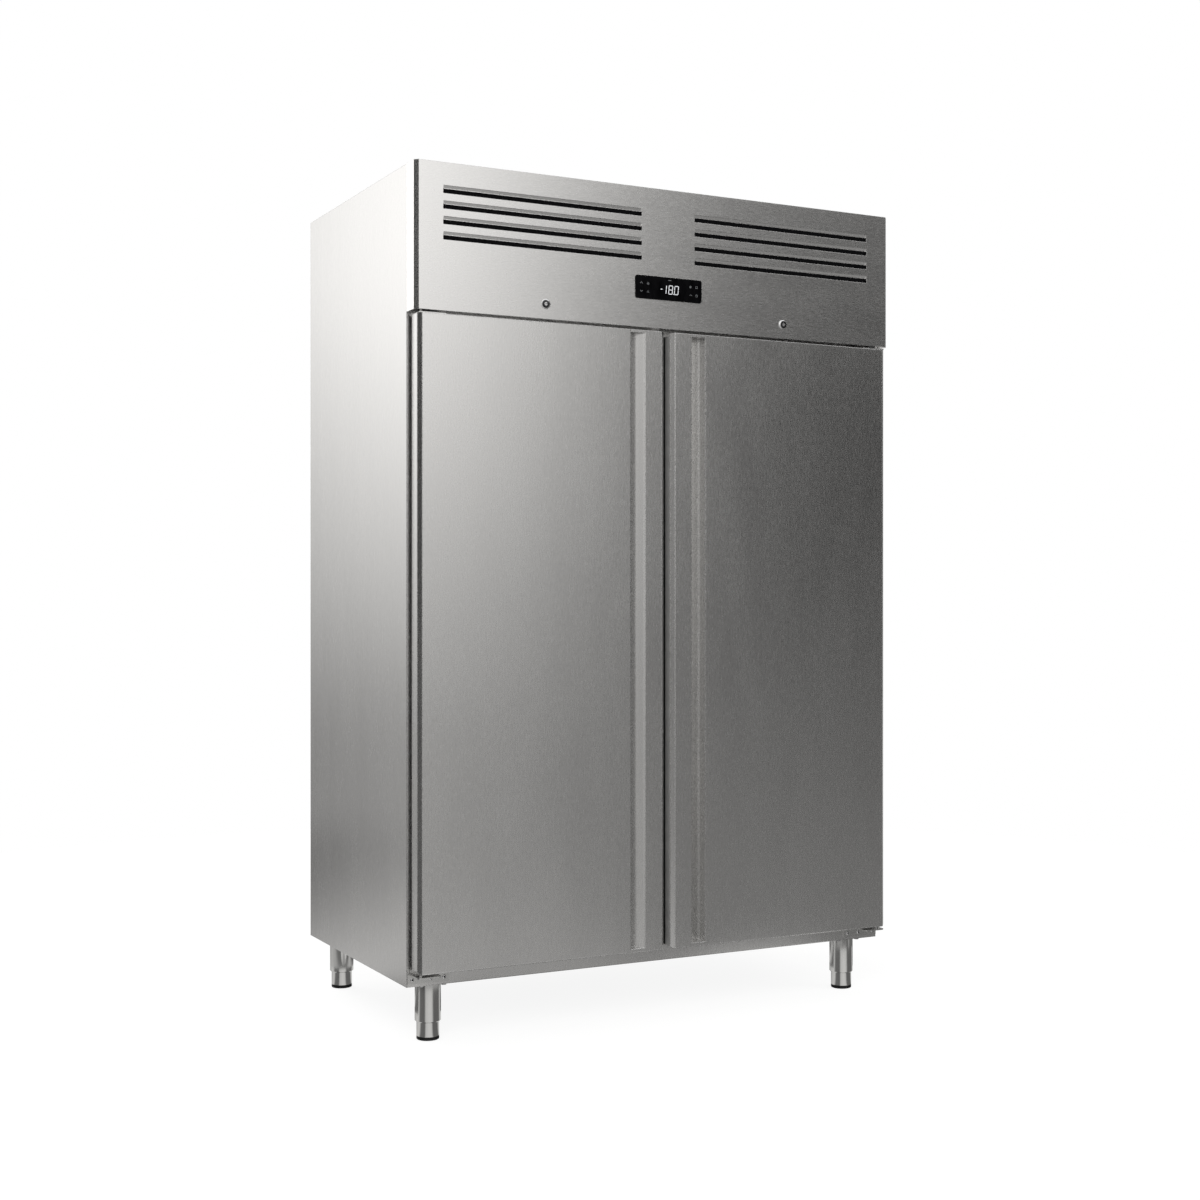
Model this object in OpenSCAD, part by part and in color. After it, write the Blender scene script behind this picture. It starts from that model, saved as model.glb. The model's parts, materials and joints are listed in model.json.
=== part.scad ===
// Upright two-door freezer cabinet with its machine compartment behind a louvred fascia.
// The front faces -Y, the floor is z = 0 and the origin lies under the middle of the cabinet.

/* [Cabinet] */
// Width across the two side panels
body_w = 1388; // [1340:1:1460]
// Depth from the sealing face to the back panel
body_d = 741; // [725:1:800]
// Height from the underside to the top edge
body_h = 1987; // [1960:1:2060]
// Thickness of the foamed side walls, back and ceiling
wall_t = 75; // [70:1:80]
// Thickness of the folded steel sheet
sheet = 1; // [0.8:0.1:1.4]
// Radius of the coved corners of the inner liner
cove_r = 22; // [12:1:30]
// Width of the stiffening flanges on the side panels
flange_w = 20; // [15:1:26]
// Depth of the post between the two openings
post_d = 55; // [40:1:62]

/* [Fascia] */
// Height of the fascia panel
fascia_h = 357; // [345:1:370]
// Gap between the fascia and the doors
fascia_gap = 7.5; // [6:0.5:9]
// Height of one louvre slot
louvre_h = 19.6; // [16:0.2:24]
// Spacing of the louvre slots
louvre_pitch = 37.2; // [34:0.2:40]
// Distance from the top edge to the first louvre slot
louvre_top = 55; // [45:1:60]
// Distance from the middle of the cabinet to a louvre slot
louvre_in = 78; // [70:1:90]
// Distance from the side of the cabinet to a louvre slot
louvre_out = 72.5; // [66:0.5:120]
// Louvre slots in each of the two groups
louvre_n = 4; // [2:1:4]
// Depth that a louvre blade is pressed in
blade_in = 3.6; // [3:0.2:7]
// Width of the display glass
glass_w = 195; // [170:1:220]
// Height of the display glass
glass_h = 59; // [50:1:66]
// Thickness of the display glass
glass_t = 2; // [1:0.5:3]
// Distance from the bottom edge of the fascia to the display glass
glass_up = 73; // [66:1:80]

/* [Doors] */
// Thickness of a door without its gasket
door_t = 44.5; // [42:0.5:50]
// Gap between a closed door and the sealing face
gasket_gap = 12.5; // [12:0.5:15]
// Distance from a door's hinged edge to the side of the cabinet
door_inset = 8.8; // [7:0.1:11]
// Gap between the two doors
door_gap = 20; // [14:1:24]
// Part of the sill that shows under the doors
sill_show = 39; // [36:1:44]
// Overlap of a door on the frame above, below and at the post
door_lap = 36; // [34:1:40]
// Chamfer of the door and fascia edges
chamfer = 9.5; // [6:0.5:11]
// Radius of a door's lower corners
door_r = 8; // [4:1:10]
// Width of the edge panel beside the handle channel
handle_edge = 58; // [50:1:64]
// Width of the handle channel
channel_w = 41; // [36:1:48]
// Depth of the handle channel
channel_d = 33; // [26:1:34]
// Width of the flat floor of the handle channel
channel_floor = 3; // [2:1:12]
// Distance from a door's top edge to the end of the channel
channel_top = 7; // [5:1:12]
// Distance from a door's bottom edge to the end of the channel
channel_low = 10; // [6:1:14]
// Width of the gasket
gasket_w = 20; // [16:1:20]
// Distance from a door's edge to its gasket
gasket_in = 14; // [13:0.5:14]

/* [Hinges and locks] */
// Distance from a door's hinged edge to its pin axis
pin_in = 12; // [11:0.5:13]
// Distance from the sealing face to the pin axis
pin_out = 41; // [39:0.5:43]
// Diameter of the hinge pins
pin_d = 6; // [5:0.5:8]
// Depth of a hinge pin inside the door
pin_l = 18; // [14:1:24]
// Thickness of the hinge plates
plate_t = 3; // [2:0.5:4]
// Length of a lower hinge plate along the sill
plate_l = 107; // [95:1:120]
// Width of the arm that carries the pin
arm_w = 62; // [50:1:70]
// Distance from the middle of the cabinet to a lock
lock_x = 349; // [330:1:370]
// Distance from the bottom edge of the fascia to a lock
lock_up = 37; // [34:1:44]
// Diameter of the ring of a lock
lock_d = 25; // [23:1:28]
// Distance that a lock stands out from the fascia
lock_proud = 3.5; // [3:0.5:7]
// Diameter of the turning plug of a lock
plug_d = 12; // [10:1:13]
// Depth that a turned lock cam reaches into the door
cam_bite = 7; // [5:1:10]

/* [Legs] */
// Height of the legs
leg_h = 143; // [138:1:160]
// Diameter of the outer leg tubes
leg_d = 64.6; // [62:0.2:70]
// Diameter of the adjustable feet
foot_d = 56; // [50:1:58]
// Part of an adjustable foot that shows below its leg tube
foot_show = 44; // [40:1:50]
// Travel of an adjustable foot
foot_travel = 40; // [30:1:42]
// Height of the rubber pads
pad_h = 9; // [7:1:12]
// Distance from a side panel to a leg's axis
leg_side = 77; // [70:1:90]
// Distance from the sealing face to a front leg's axis
leg_front = 55; // [50:1:65]
// Distance from the back panel to a rear leg's axis
leg_rear = 41; // [41:1:60]

/* [Interior] */
// Gap between a shelf and the walls of its bay
shelf_side = 21.5; // [18:0.5:30]
// Distance from the sealing face to the front edge of a shelf
shelf_front = 8; // [6:1:60]
// Shelves in each bay, each on its own pair of runners
shelf_n = 4; // [2:1:4]
// Spacing of the shelves
shelf_pitch = 300; // [250:5:320]
// Thickness of the wires of a shelf
wire_d = 5; // [4:0.5:7]
// Width of the rods round a shelf
rod_d = 8; // [7:0.5:10]
// Width of the evaporator cover
evap_w = 860; // [800:5:900]
// Height of the evaporator cover
evap_h = 200; // [190:1:215]
// Depth of the evaporator cover
evap_d = 250; // [240:1:265]
// Diameter of the evaporator fans
evap_fan_d = 170; // [150:2:172]

/* [Machine compartment] */
// Diameter of the compressor shell
comp_d = 165; // [150:1:175]
// Height of the compressor shell
comp_h = 190; // [170:1:200]
// Width of the condenser
cond_w = 300; // [280:2:310]
// Height of the condenser
cond_h = 230; // [220:1:240]
// Depth of the condenser
cond_d = 60; // [50:1:66]
// Diameter of the condenser fan
cond_fan_d = 200; // [180:2:204]
// Diameter of the copper pipes
pipe_d = 8; // [6:1:10]

/* [Hidden] */
$fn = 64;

// Colours
steel = [0.64, 0.64, 0.62];
inner_steel = [0.72, 0.72, 0.71];
dark_steel = [0.42, 0.42, 0.43];
foam_colour = [0.90, 0.84, 0.66];
rubber = [0.08, 0.08, 0.09];
black_glass = [0.03, 0.03, 0.04];
black_plastic = [0.12, 0.12, 0.13];
grey_plastic = [0.55, 0.56, 0.58];
chrome = [0.80, 0.80, 0.82];
copper = [0.72, 0.43, 0.29];
fin_metal = [0.75, 0.76, 0.78];

// Clearances
run_fit = 0.05;
seat_gap = 0.2;
free_gap = 1;
swing_gap = 2;
cut = 1;
head_over = 2;
head_t = 2.5;

// Main planes
x_side = body_w / 2;
x_skin = x_side - sheet;
x_wall = x_side - wall_t;
front_reach = gasket_gap + door_t + lock_proud;
gland_out = 7;
y_seal = (front_reach - body_d - gland_out) / 2;
y_back = y_seal + body_d;
y_rear_wall = y_back - wall_t;
y_door_back = y_seal - gasket_gap;
y_front = y_door_back - door_t;
z_bottom = leg_h;
z_top = leg_h + body_h;
z_fascia = z_top - fascia_h;
z_door = z_bottom + sill_show;
z_door_top = z_fascia - fascia_gap;
z_floor = z_door + door_lap;
z_ceiling = z_door_top - door_lap;
z_deck = z_ceiling + wall_t;
post_half = door_gap / 2 + door_lap;

// Hinge axis and lower hinge
x_pin = x_side - door_inset - pin_in;
y_pin = y_seal - pin_out;
pin_r = pin_d / 2;
bush_wall = 4;
bush_cap = 4;
bush_r = pin_r + bush_wall;
bush_l = pin_l + bush_cap;
arm_end = 12;
arm_r = 8;
z_arm = z_door - fascia_gap;
plate_edge = 1.5;
plate_low = 8;
screw_r = 3;
screw_in = 12;
door_plate_in = 4;
door_plate_l = 68;
upper_l = 70;
upper_screws = [24, 56];
lower_screw_shift = 6;
lower_screws = [screw_in, plate_l / 2 + lower_screw_shift, plate_l - screw_in];
door_plate_w = 30;
door_plate_t = 2.5;

// Locks
lock_z = z_fascia + lock_up;
plug_r = plug_d / 2;
barrel_wall = 3.5;
barrel_r = plug_r + barrel_wall;
barrel_l = 22;
cam_t = 2.5;
cam_w = 14;
cam_reach = lock_z - z_door_top + cam_bite;
y_cam = y_front + barrel_l + free_gap;
nut_t = 4;
nut_over = 4;
key_w = plug_r * 1.2;
sensor_x = 40;
sensor_w = 21;
sensor_y = 8;
sensor_d = 20;

// Legs
foot_r = foot_d / 2;
leg_r = leg_d / 2;
leg_wall = 1.5;
collar_h = 12;
collar_chamfer = 3;
leg_plate = 80;
leg_plate_t = 3;
leg_bolt = 30;
leg_bolt_r = 4;
foot_wall = 2;
foot_grip = 10;

// Louvres, with the blade as depths and drops from the top edge of its slot
louvre_l = x_side - louvre_in - louvre_out;
blade_slope = 28;
blade_turn = blade_in / tan(blade_slope);
blade_lip = 1.4;
blade_drop = blade_turn + blade_lip;

// Display and controller
glass_r = 6;
glass_lap = 6;
ctrl_d = 45;

// Shelves and runners
bay_x = (post_half + x_wall) / 2;
shelf_w = x_wall - post_half - 2 * shelf_side;
upright_d = 14;
upright_w = 30;
web_t = 1.5;
runner_web = 24;
ledge_over = 12;
runner_up = 110;
z_runner = z_floor + runner_up;
shelf_rear_gap = 8;
y_shelf = y_seal + shelf_front;
shelf_d = y_rear_wall - shelf_rear_gap - y_shelf;
runner_gap = 6;
y_runner_front = y_seal + post_d + runner_gap;
y_runner_rear = y_rear_wall - shelf_rear_gap;
upright_in = 35;
y_upright_front = y_runner_front + upright_in;
y_upright_rear = y_runner_rear - upright_in - upright_w;
upright_up = 60;
z_upright = z_floor + upright_up;
upright_h = shelf_n * shelf_pitch;
centre_half = 20;
wire_pitch = 24;
cross_rods = 3;
slot_h = 12;
slot_w = 6;
slot_pitch = 75;

// Evaporator
y_evap = y_rear_wall - evap_d;
z_evap = z_ceiling - evap_h;
evap_fan_x = evap_w / 4;
evap_fan_z = z_evap + evap_h / 2;
motor_r = 32;
motor_l = 50;
hub_r = 26;
hub_l = 20;
shaft_r = 4;
fan_back = 14;
fan_l = 22;
blade_t = 2;
blade_n = 5;
blade_pitch = 28;
arm_t = 4;
arm_back = 5;
blade_w = 28;
blade_root = 3;
tip_gap = 5;
ring_w = 6;
guard_gap = 12;
coil_front = 125;
coil_d = 90;
coil_in = 60;
coil_up = 22;
fin_pitch = 10;
fin_t = 2.5;
fin_spine = 10;
coil_half = evap_w / 2 - coil_in;
return_in = 30;
return_bridge = 30;
return_slot = 6;
return_pitch = 16;
tray_t = 1;
tray_h = 18;
tray_out = 12;
drain_r = 7;
drain_wall = 1.5;
drain_x = 120;
drain_rise = 1;
drain_z = z_evap + sheet + tray_t + drain_r + drain_rise;
drain_in = 6;
drain_down_r = drain_r + drain_rise;
drain_cap = 4;
y_drain = y_rear_wall + wall_t / 2;
drain_out = 20;
pipe_hole_r = 22;
pipe_hole_out = 20;
pipe_hole_in = 70;
pipe_hole_x = coil_half + pipe_hole_out;
pipe_hole_y = y_rear_wall - pipe_hole_in;

// Condensing unit on the deck
base_t = 2;
z_base = z_deck + base_t;
base_x0 = -470;
base_x1 = 60;
base_in = 40;
base_d = 520;
base_y0 = y_seal + base_in;
base_y1 = base_y0 + base_d;
cond_x = -300;
cond_in = 15;
cond_y = base_y0 + cond_in;
cond_air = 20;
shroud_t = 1.5;
y_shroud = cond_y + cond_d + cond_air;
cond_fan_z = z_base + cond_h / 2;
comp_x = -90;
comp_in = 360;
comp_y = base_y0 + comp_in;
comp_plate = 150;
comp_ear = 20;
comp_half_x = comp_plate / 2 + comp_ear;
comp_round = 32;
term_w = 60;
term_h = 70;
term_up = 40;
term_out = 26;
comp_plate_t = 3;
comp_foot_h = 16;
comp_foot_r = 12;
comp_foot_in = 18;
z_comp = z_base + comp_foot_h + comp_plate_t;
pipe_r = pipe_d / 2;
pipe_rise = 25;
pipe_sides = 10;
box_w = 240;
box_h = 180;
box_d = 110;
lid_over = 4;
lid_front = 12;
lid_h = 30;
box_in = 250;
box_y = y_seal + box_in;
gland_side = 214;
gland_x = x_side - gland_side;
box_x = gland_x - box_w;
gland_up = 70;
gland_r = 10;
gland_in = 12;
gland_nut = 5;
cable_r = 4.5;

// Block between two opposite corners
module block(a, b) {
    translate(a)
        cube([b[0] - a[0], b[1] - a[1], b[2] - a[2]]);
}

// Cylinder along +Y from a point
module rod_y(at, r, l) {
    translate(at)
        rotate([-90, 0, 0])
            cylinder(r = r, h = l);
}

// Outline in y and z, drawn out along +X from x0 over length l
module along_x(x0, l) {
    translate([x0, 0, 0])
        rotate([90, 0, 90])
            linear_extrude(l)
                children();
}

// Outline in x and z, drawn out along +Y from y0 over length l
module along_y(y0, l) {
    translate([0, y0 + l, 0])
        rotate([90, 0, 0])
            linear_extrude(l)
                children();
}

// Flat rectangle with rounded corners, from its lower left corner
module rounded(w, h, r) {
    translate([r, 0])
        square([w - 2 * r, h]);
    translate([0, r])
        square([w, h - 2 * r]);
    for (x = [r, w - r], y = [r, h - r])
        translate([x, y])
            circle(r);
}

// Plan outline with chamfered front corners, drawn in by inset on its sides and front
module chamfered_plan(x0, x1, y_open, inset) {
    c = chamfer - (2 - sqrt(2)) * inset;
    yf = y_front + inset;
    polygon([
        [x0 + inset, y_open], [x0 + inset, yf + c], [x0 + inset + c, yf],
        [x1 - inset - c, yf], [x1 - inset, yf + c], [x1 - inset, y_open]]);
}

// Copies a piece drawn for the left side onto the right side
module right_side() {
    mirror([1, 0, 0])
        children();
}

// Casing

rear_screw_in = 40;
rear_screw_z = [z_deck + rear_screw_in, (z_deck + z_top) / 2, z_top - rear_screw_in];

module side_panel() {
    difference() {
        union() {
            block([-x_side, y_seal, z_bottom], [-x_skin, y_back, z_top]);
            block([-x_side, y_seal, z_deck], [-x_side + flange_w, y_seal + sheet, z_top - sheet]);
            block([-x_side, y_back - sheet, z_deck], [-x_side + flange_w, y_back, z_top - sheet]);
        }
        for (z = rear_screw_z)
            rod_y([-x_side + flange_w / 2, y_back - sheet - cut, z],
                  screw_r + seat_gap, sheet + 2 * cut);
    }
}

module left_side_panel() {
    color(steel)
        side_panel();
}

module right_side_panel() {
    color(steel)
        right_side()
            side_panel();
}

module back_panel() {
    color(steel)
        block([-x_skin, y_back - sheet, z_bottom], [x_skin, y_back, z_deck]);
}

module bottom_panel() {
    color(steel)
        difference() {
            block([-x_skin, y_seal + sheet, z_bottom], [x_skin, y_back - sheet, z_bottom + sheet]);
            drain_down(seat_gap, z_bottom - cut);
        }
}

// Stub of the drain, back from the drip tray into the rear wall
module drain_stub(grow, y0) {
    rod_y([drain_x, y0, drain_z], drain_r + grow, y_drain - y0);
}

// Down pipe of the drain inside the rear wall
module drain_down(grow, z_end) {
    translate([drain_x, y_drain, z_end])
        cylinder(r = drain_down_r + grow, h = drain_z + drain_down_r + drain_cap + grow - z_end);
}

module pipe_passage(z0, z1) {
    translate([pipe_hole_x, pipe_hole_y, z0])
        cylinder(r = pipe_hole_r, h = z1 - z0);
}

module deck_panel() {
    color(dark_steel)
        difference() {
            block([-x_skin, y_seal + sheet, z_deck - sheet], [x_skin, y_back - sheet, z_deck]);
            pipe_passage(z_deck - sheet - cut, z_deck + cut);
        }
}

module front_frame() {
    color(steel)
        difference() {
            block([-x_skin, y_seal, z_bottom], [x_skin, y_seal + sheet, z_deck]);
            block([-x_wall, y_seal - cut, z_floor], [x_wall, y_seal + sheet + cut, z_ceiling]);
        }
}

// Space inside the cabinet, grown by the given thickness on its walls
module storage_space(grow, y0) {
    r = cove_r + grow;
    x = x_wall + grow;
    y1 = y_rear_wall + grow;
    z0 = z_floor - grow;
    z1 = z_ceiling + grow;
    intersection() {
        translate([0, 0, z0])
            linear_extrude(z1 - z0)
                union() {
                    translate([-x, y0])
                        square([2 * x, y1 - r - y0]);
                    translate([r - x, y0])
                        square([2 * (x - r), y1 - y0]);
                    for (side = [-1, 1])
                        translate([side * (x - r), y1 - r])
                            circle(r);
                }
        along_y(y0, y1 - y0)
            union() {
                translate([-x, z0 + r])
                    square([2 * x, z1 - z0 - r]);
                translate([r - x, z0])
                    square([2 * (x - r), z1 - z0]);
                for (side = [-1, 1])
                    translate([side * (x - r), z0 + r])
                        circle(r);
            }
    }
}

module inner_liner() {
    color(inner_steel)
        difference() {
            storage_space(sheet, y_seal + sheet);
            storage_space(0, y_seal + sheet - cut);
            pipe_passage(z_ceiling - cut, z_ceiling + sheet + cut);
            rod_y([drain_x, y_rear_wall - cut, drain_z], drain_r + seat_gap, sheet + 2 * cut);
        }
}

module insulation() {
    color(foam_colour)
        difference() {
            block([-x_skin, y_seal + sheet, z_bottom + sheet], [x_skin, y_back - sheet, z_deck - sheet]);
            storage_space(sheet, y_seal + sheet - cut);
            pipe_passage(z_ceiling, z_deck);
            drain_stub(seat_gap, y_rear_wall);
            drain_down(seat_gap, z_bottom);
        }
}

module centre_post() {
    color(inner_steel)
        difference() {
            block([-post_half, y_seal, z_floor], [post_half, y_seal + post_d, z_ceiling]);
            block([-post_half + 2 * sheet, y_seal + 2 * sheet, z_floor - cut],
                  [post_half - 2 * sheet, y_seal + post_d - 2 * sheet, z_ceiling + cut]);
        }
}

// Rows of slots over width w, with the given solid bridge between the columns
module vent_slots(w, rows, columns, bridge, slot_t, pitch) {
    slot_l = (w - (columns - 1) * bridge) / columns;
    for (c = [0 : columns - 1], r = [0 : rows - 1])
        translate([c * (slot_l + bridge) - w / 2, r * pitch])
            square([slot_l, slot_t]);
}

vent_bridge = 60;
vent_slot_h = 8;
vent_pitch = 28;
rear_vent_in = 90;
rear_vent_up = 60;

module top_cover() {
    y0 = y_seal;
    y1 = y_back - 2 * sheet;
    vent_in = 160;
    color(dark_steel)
        translate([0, 0, z_top - sheet])
            linear_extrude(sheet)
                difference() {
                    translate([-x_skin, y0])
                        square([2 * x_skin, y1 - y0]);
                    translate([0, y_front + 2 * vent_in])
                        vent_slots(2 * (x_side - vent_in), 12, 4, vent_bridge, vent_slot_h, vent_pitch);
                }
}

module rear_grille() {
    color(dark_steel)
        along_y(y_back - 2 * sheet, sheet)
            difference() {
                translate([-x_skin, z_deck])
                    square([2 * x_skin, z_top - z_deck]);
                translate([0, z_deck + gland_up + rear_vent_up])
                    vent_slots(2 * (x_side - rear_vent_in), 6, 5, vent_bridge, vent_slot_h, vent_pitch);
                translate([gland_x, z_deck + gland_up])
                    circle(gland_r + seat_gap);
            }
}

// Fascia

module louvre_cut(x0, z) {
    block([x0, y_front - cut, z - louvre_h], [x0 + louvre_l, y_front + sheet + cut, z]);
}

module louvre_blade(x0, z) {
    back = blade_in + sheet;
    along_x(x0, louvre_l)
        translate([y_front, z])
            polygon([
                [0, 0], [blade_in, -blade_turn], [blade_in, -blade_drop],
                [back, -blade_drop], [back, -blade_turn + sheet / 2], [sheet, sheet]]);
    for (x = [x0, x0 + louvre_l - sheet])
        along_x(x, sheet)
            translate([y_front, z])
                polygon([
                    [0, 0], [blade_in, -blade_turn], [blade_in, -blade_drop], [0, -blade_drop]]);
}

module louvre_places() {
    for (x0 = [-louvre_in - louvre_l, louvre_in], i = [0 : louvre_n - 1])
        translate([x0, 0, z_top - louvre_top - i * louvre_pitch])
            children();
}

// Opening that a lock cam swings through, at height h below the lock
module cam_slot(h, z0, z1, wall = 0) {
    reach = sqrt(pow(cam_reach, 2) - pow(h, 2)) + swing_gap;
    block([-lock_x - cam_w / 2 - swing_gap - wall, y_cam - swing_gap - wall, z0],
          [-lock_x + max(reach, cam_w / 2 + swing_gap) + wall, y_cam + cam_t + swing_gap + wall, z1]);
}

module fascia() {
    glass_z = z_fascia + glass_up;
    color(steel)
        difference() {
            union() {
                difference() {
                    translate([0, 0, z_fascia])
                        linear_extrude(fascia_h)
                            chamfered_plan(-x_side, x_side, y_seal, 0);
                    translate([0, 0, z_fascia + sheet])
                        linear_extrude(fascia_h - 2 * sheet)
                            chamfered_plan(-x_side, x_side, y_seal + cut, sheet);
                    louvre_places()
                        louvre_cut(0, 0);
                }
                louvre_places()
                    louvre_blade(0, 0);
            }
            block([glass_lap - glass_w / 2, y_front - cut, glass_z + glass_lap],
                  [glass_w / 2 - glass_lap, y_front + sheet + cut, glass_z + glass_h - glass_lap]);
            for (side = [0, 1])
                mirror([side, 0, 0]) {
                    rod_y([-lock_x, y_front - cut, lock_z], barrel_r + seat_gap, sheet + 2 * cut);
                    cam_slot(lock_up - sheet, z_fascia - cut, z_fascia + sheet + cut);
                    translate([-x_pin, y_pin, z_fascia - cut])
                        cylinder(r = pin_r + free_gap, h = sheet + 2 * cut);
                }
        }
}

module display_glass() {
    color(black_glass)
        along_y(y_front - glass_t, glass_t)
            translate([-glass_w / 2, z_fascia + glass_up])
                rounded(glass_w, glass_h, glass_r);
}

module controller() {
    margin = glass_lap + free_gap;
    clip_t = 3;
    x = glass_w / 2;
    z0 = z_fascia + glass_up + margin;
    z1 = z0 + glass_h - 2 * margin;
    color(black_plastic)
        union() {
            block([margin - x, y_front, z0], [x - margin, y_front + ctrl_d, z1]);
            block([-x, y_front + sheet, z0], [x, y_front + sheet + clip_t, z1]);
        }
}

module lock_housing() {
    ring_r = lock_d / 2;
    base_rim = 1.2;
    edge = 0.4;
    lip = 1.6;
    color(chrome)
        difference() {
            union() {
                rod_y([-lock_x, y_front, lock_z], barrel_r, barrel_l);
                rod_y([-lock_x, y_front - base_rim, lock_z], ring_r, base_rim);
                translate([-lock_x, y_front - base_rim, lock_z])
                    rotate([90, 0, 0])
                        cylinder(r1 = ring_r - edge, r2 = plug_r + lip, h = lock_proud - base_rim);
                translate([-lock_x, y_front + sheet, lock_z])
                    rotate([-90, 0, 0])
                        cylinder(r = barrel_r + nut_over, h = nut_t, $fn = 6);
            }
            rod_y([-lock_x, y_front - lock_proud - cut, lock_z], plug_r + run_fit,
                  lock_proud + barrel_l + 2 * cut);
        }
}

module lock_housings() {
    lock_housing();
    right_side()
        lock_housing();
}

module door_sensor() {
    h = fascia_gap - door_plate_t - free_gap;
    translate([-x_side + sensor_x, y_front + sensor_y, z_fascia - h])
        cube([sensor_w, sensor_d, h]);
}

module door_sensors() {
    color(black_plastic) {
        door_sensor();
        right_side()
            door_sensor();
    }
}

module lock_cylinder() {
    key_depth = 6;
    key_t = 1.6;
    tip_r = cam_w / 2;
    color(chrome)
        difference() {
            union() {
                rod_y([-lock_x, y_front - lock_proud, lock_z], plug_r,
                      y_cam + cam_t - y_front + lock_proud);
                along_y(y_cam, cam_t)
                    translate([-lock_x, lock_z]) {
                        circle(tip_r + 2);
                        translate([0, -tip_r])
                            square([cam_reach - tip_r, cam_w]);
                        translate([cam_reach - tip_r, 0])
                            circle(tip_r);
                    }
            }
            block([-lock_x - key_w / 2, y_front - lock_proud - cut, lock_z - key_t / 2],
                  [-lock_x + key_w / 2, y_front - lock_proud + key_depth, lock_z + key_t / 2]);
        }
}

module left_lock_cylinder() {
    lock_cylinder();
}

module right_lock_cylinder() {
    right_side()
        lock_cylinder();
}

// Doors, drawn for the left side

door_x0 = -x_side + door_inset;
door_x1 = -door_gap / 2;
channel_x1 = door_x1 - handle_edge;
channel_x0 = channel_x1 - channel_w;
inner_t = 1.5;
plateau = 4;
plateau_in = 6;
seam_w = 1.5;
seam_in = 13;
gasket_base = 4;
gasket_head = 4.5;
gasket_stem = 6;
gasket_foot_in = 3;

// Front outline of the door with its rounded lower corners
module door_front(inset) {
    w = door_x1 - door_x0 - 2 * inset;
    h = z_door_top - z_door - 2 * inset;
    r = door_r - inset;
    translate([door_x0 + inset, z_door + inset]) {
        translate([r, 0])
            square([w - 2 * r, h]);
        translate([0, r])
            square([w, h - r]);
        for (x = [r, w - r])
            translate([x, r])
                circle(r);
    }
}

module door_solid(inset, y_open) {
    intersection() {
        translate([0, 0, z_door])
            linear_extrude(z_door_top - z_door)
                chamfered_plan(door_x0, door_x1, y_open, inset);
        along_y(y_front, y_open - y_front)
            door_front(inset);
    }
}

// Hollow of the handle channel, grown by g
module channel(g) {
    lip_w = 3.7;
    lip_d = 3;
    top = z_door_top - channel_top;
    low = z_door + channel_low;
    run = channel_w - lip_w - channel_floor;
    rise = channel_d - lip_d;
    slant = g * sqrt(pow(run, 2) + pow(rise, 2)) / rise;
    translate([0, 0, low - g])
        linear_extrude(top - low + 2 * g)
            polygon([
                [channel_x0 - g, y_front - cut],
                [channel_x0 - g, y_front + channel_d + g],
                [channel_x0 + channel_floor + slant - g * run / rise, y_front + channel_d + g],
                [channel_x1 - lip_w + slant, y_front + lip_d],
                [channel_x1 + g, y_front],
                [channel_x1 + g, y_front - cut]]);
}

module bush_place(r, upper) {
    z = upper ? z_door_top - bush_l : z_door;
    translate([-x_pin, y_pin, z])
        cylinder(r = r, h = bush_l);
}

// Openings that the hinge bushes and the lock cam need in the door
module door_pockets() {
    bush_place(bush_r + seat_gap, false);
    translate([0, 0, -cut])
        bush_place(bush_r + seat_gap, false);
    bush_place(bush_r + seat_gap, true);
    translate([0, 0, cut])
        bush_place(bush_r + seat_gap, true);
    cam_slot(lock_z - z_door_top, z_door_top - cam_bite - swing_gap, z_door_top + cut);
}

// Cup that keeps the door's foam out of the cam's way
module cam_cup() {
    cam_slot(lock_z - z_door_top, z_door_top - cam_bite - swing_gap - sheet, z_door_top - sheet / 2, sheet);
}

module door_shell() {
    difference() {
        union() {
            difference() {
                door_solid(0, y_door_back);
                door_solid(sheet, y_door_back + cut);
            }
            cam_cup();
        }
        door_pockets();
    }
}

module door_skin() {
    color(steel)
        difference() {
            door_shell();
            block([channel_x0 - sheet, y_front - cut, z_door - cut],
                  [door_x1 + cut, y_door_back + cut, z_door_top + cut]);
        }
}

module handle_profile() {
    color(steel)
        difference() {
            union() {
                difference() {
                    door_shell();
                    block([door_x0 - cut, y_front - cut, z_door - cut],
                          [channel_x0 - sheet, y_door_back + cut, z_door_top + cut]);
                }
                intersection() {
                    channel(sheet);
                    door_solid(0, y_door_back);
                }
            }
            channel(0);
            block([door_x1 - sheet / 2, y_front + seam_in, z_door - cut],
                  [door_x1 + cut, y_front + seam_in + seam_w, z_door_top + cut]);
        }
}

module door_foam() {
    color(foam_colour)
        difference() {
            door_solid(sheet, y_door_back - inner_t);
            channel(sheet);
            cam_cup();
            door_pockets();
        }
}

// Ring around the back of the door: from the door's edge in by a, over width w
module door_ring(y, l, a, w) {
    along_y(y, l)
        difference() {
            translate([door_x0 + a, z_door + a])
                square([door_x1 - door_x0 - 2 * a, z_door_top - z_door - 2 * a]);
            translate([door_x0 + a + w, z_door + a + w])
                square([door_x1 - door_x0 - 2 * (a + w), z_door_top - z_door - 2 * (a + w)]);
        }
}

module door_inner() {
    step_in = gasket_in + gasket_w + free_gap;
    color(inner_steel)
        union() {
            intersection() {
                door_solid(sheet, y_door_back);
                block([door_x0, y_door_back - inner_t, z_door],
                      [door_x1, y_door_back, z_door_top]);
            }
            for (i = [1, 2]) {
                a = step_in + plateau_in * i;
                block([door_x0 + a, y_door_back - inner_t, z_door + a],
                      [door_x1 - a, y_door_back + i * plateau, z_door_top - a]);
            }
        }
}

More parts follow.
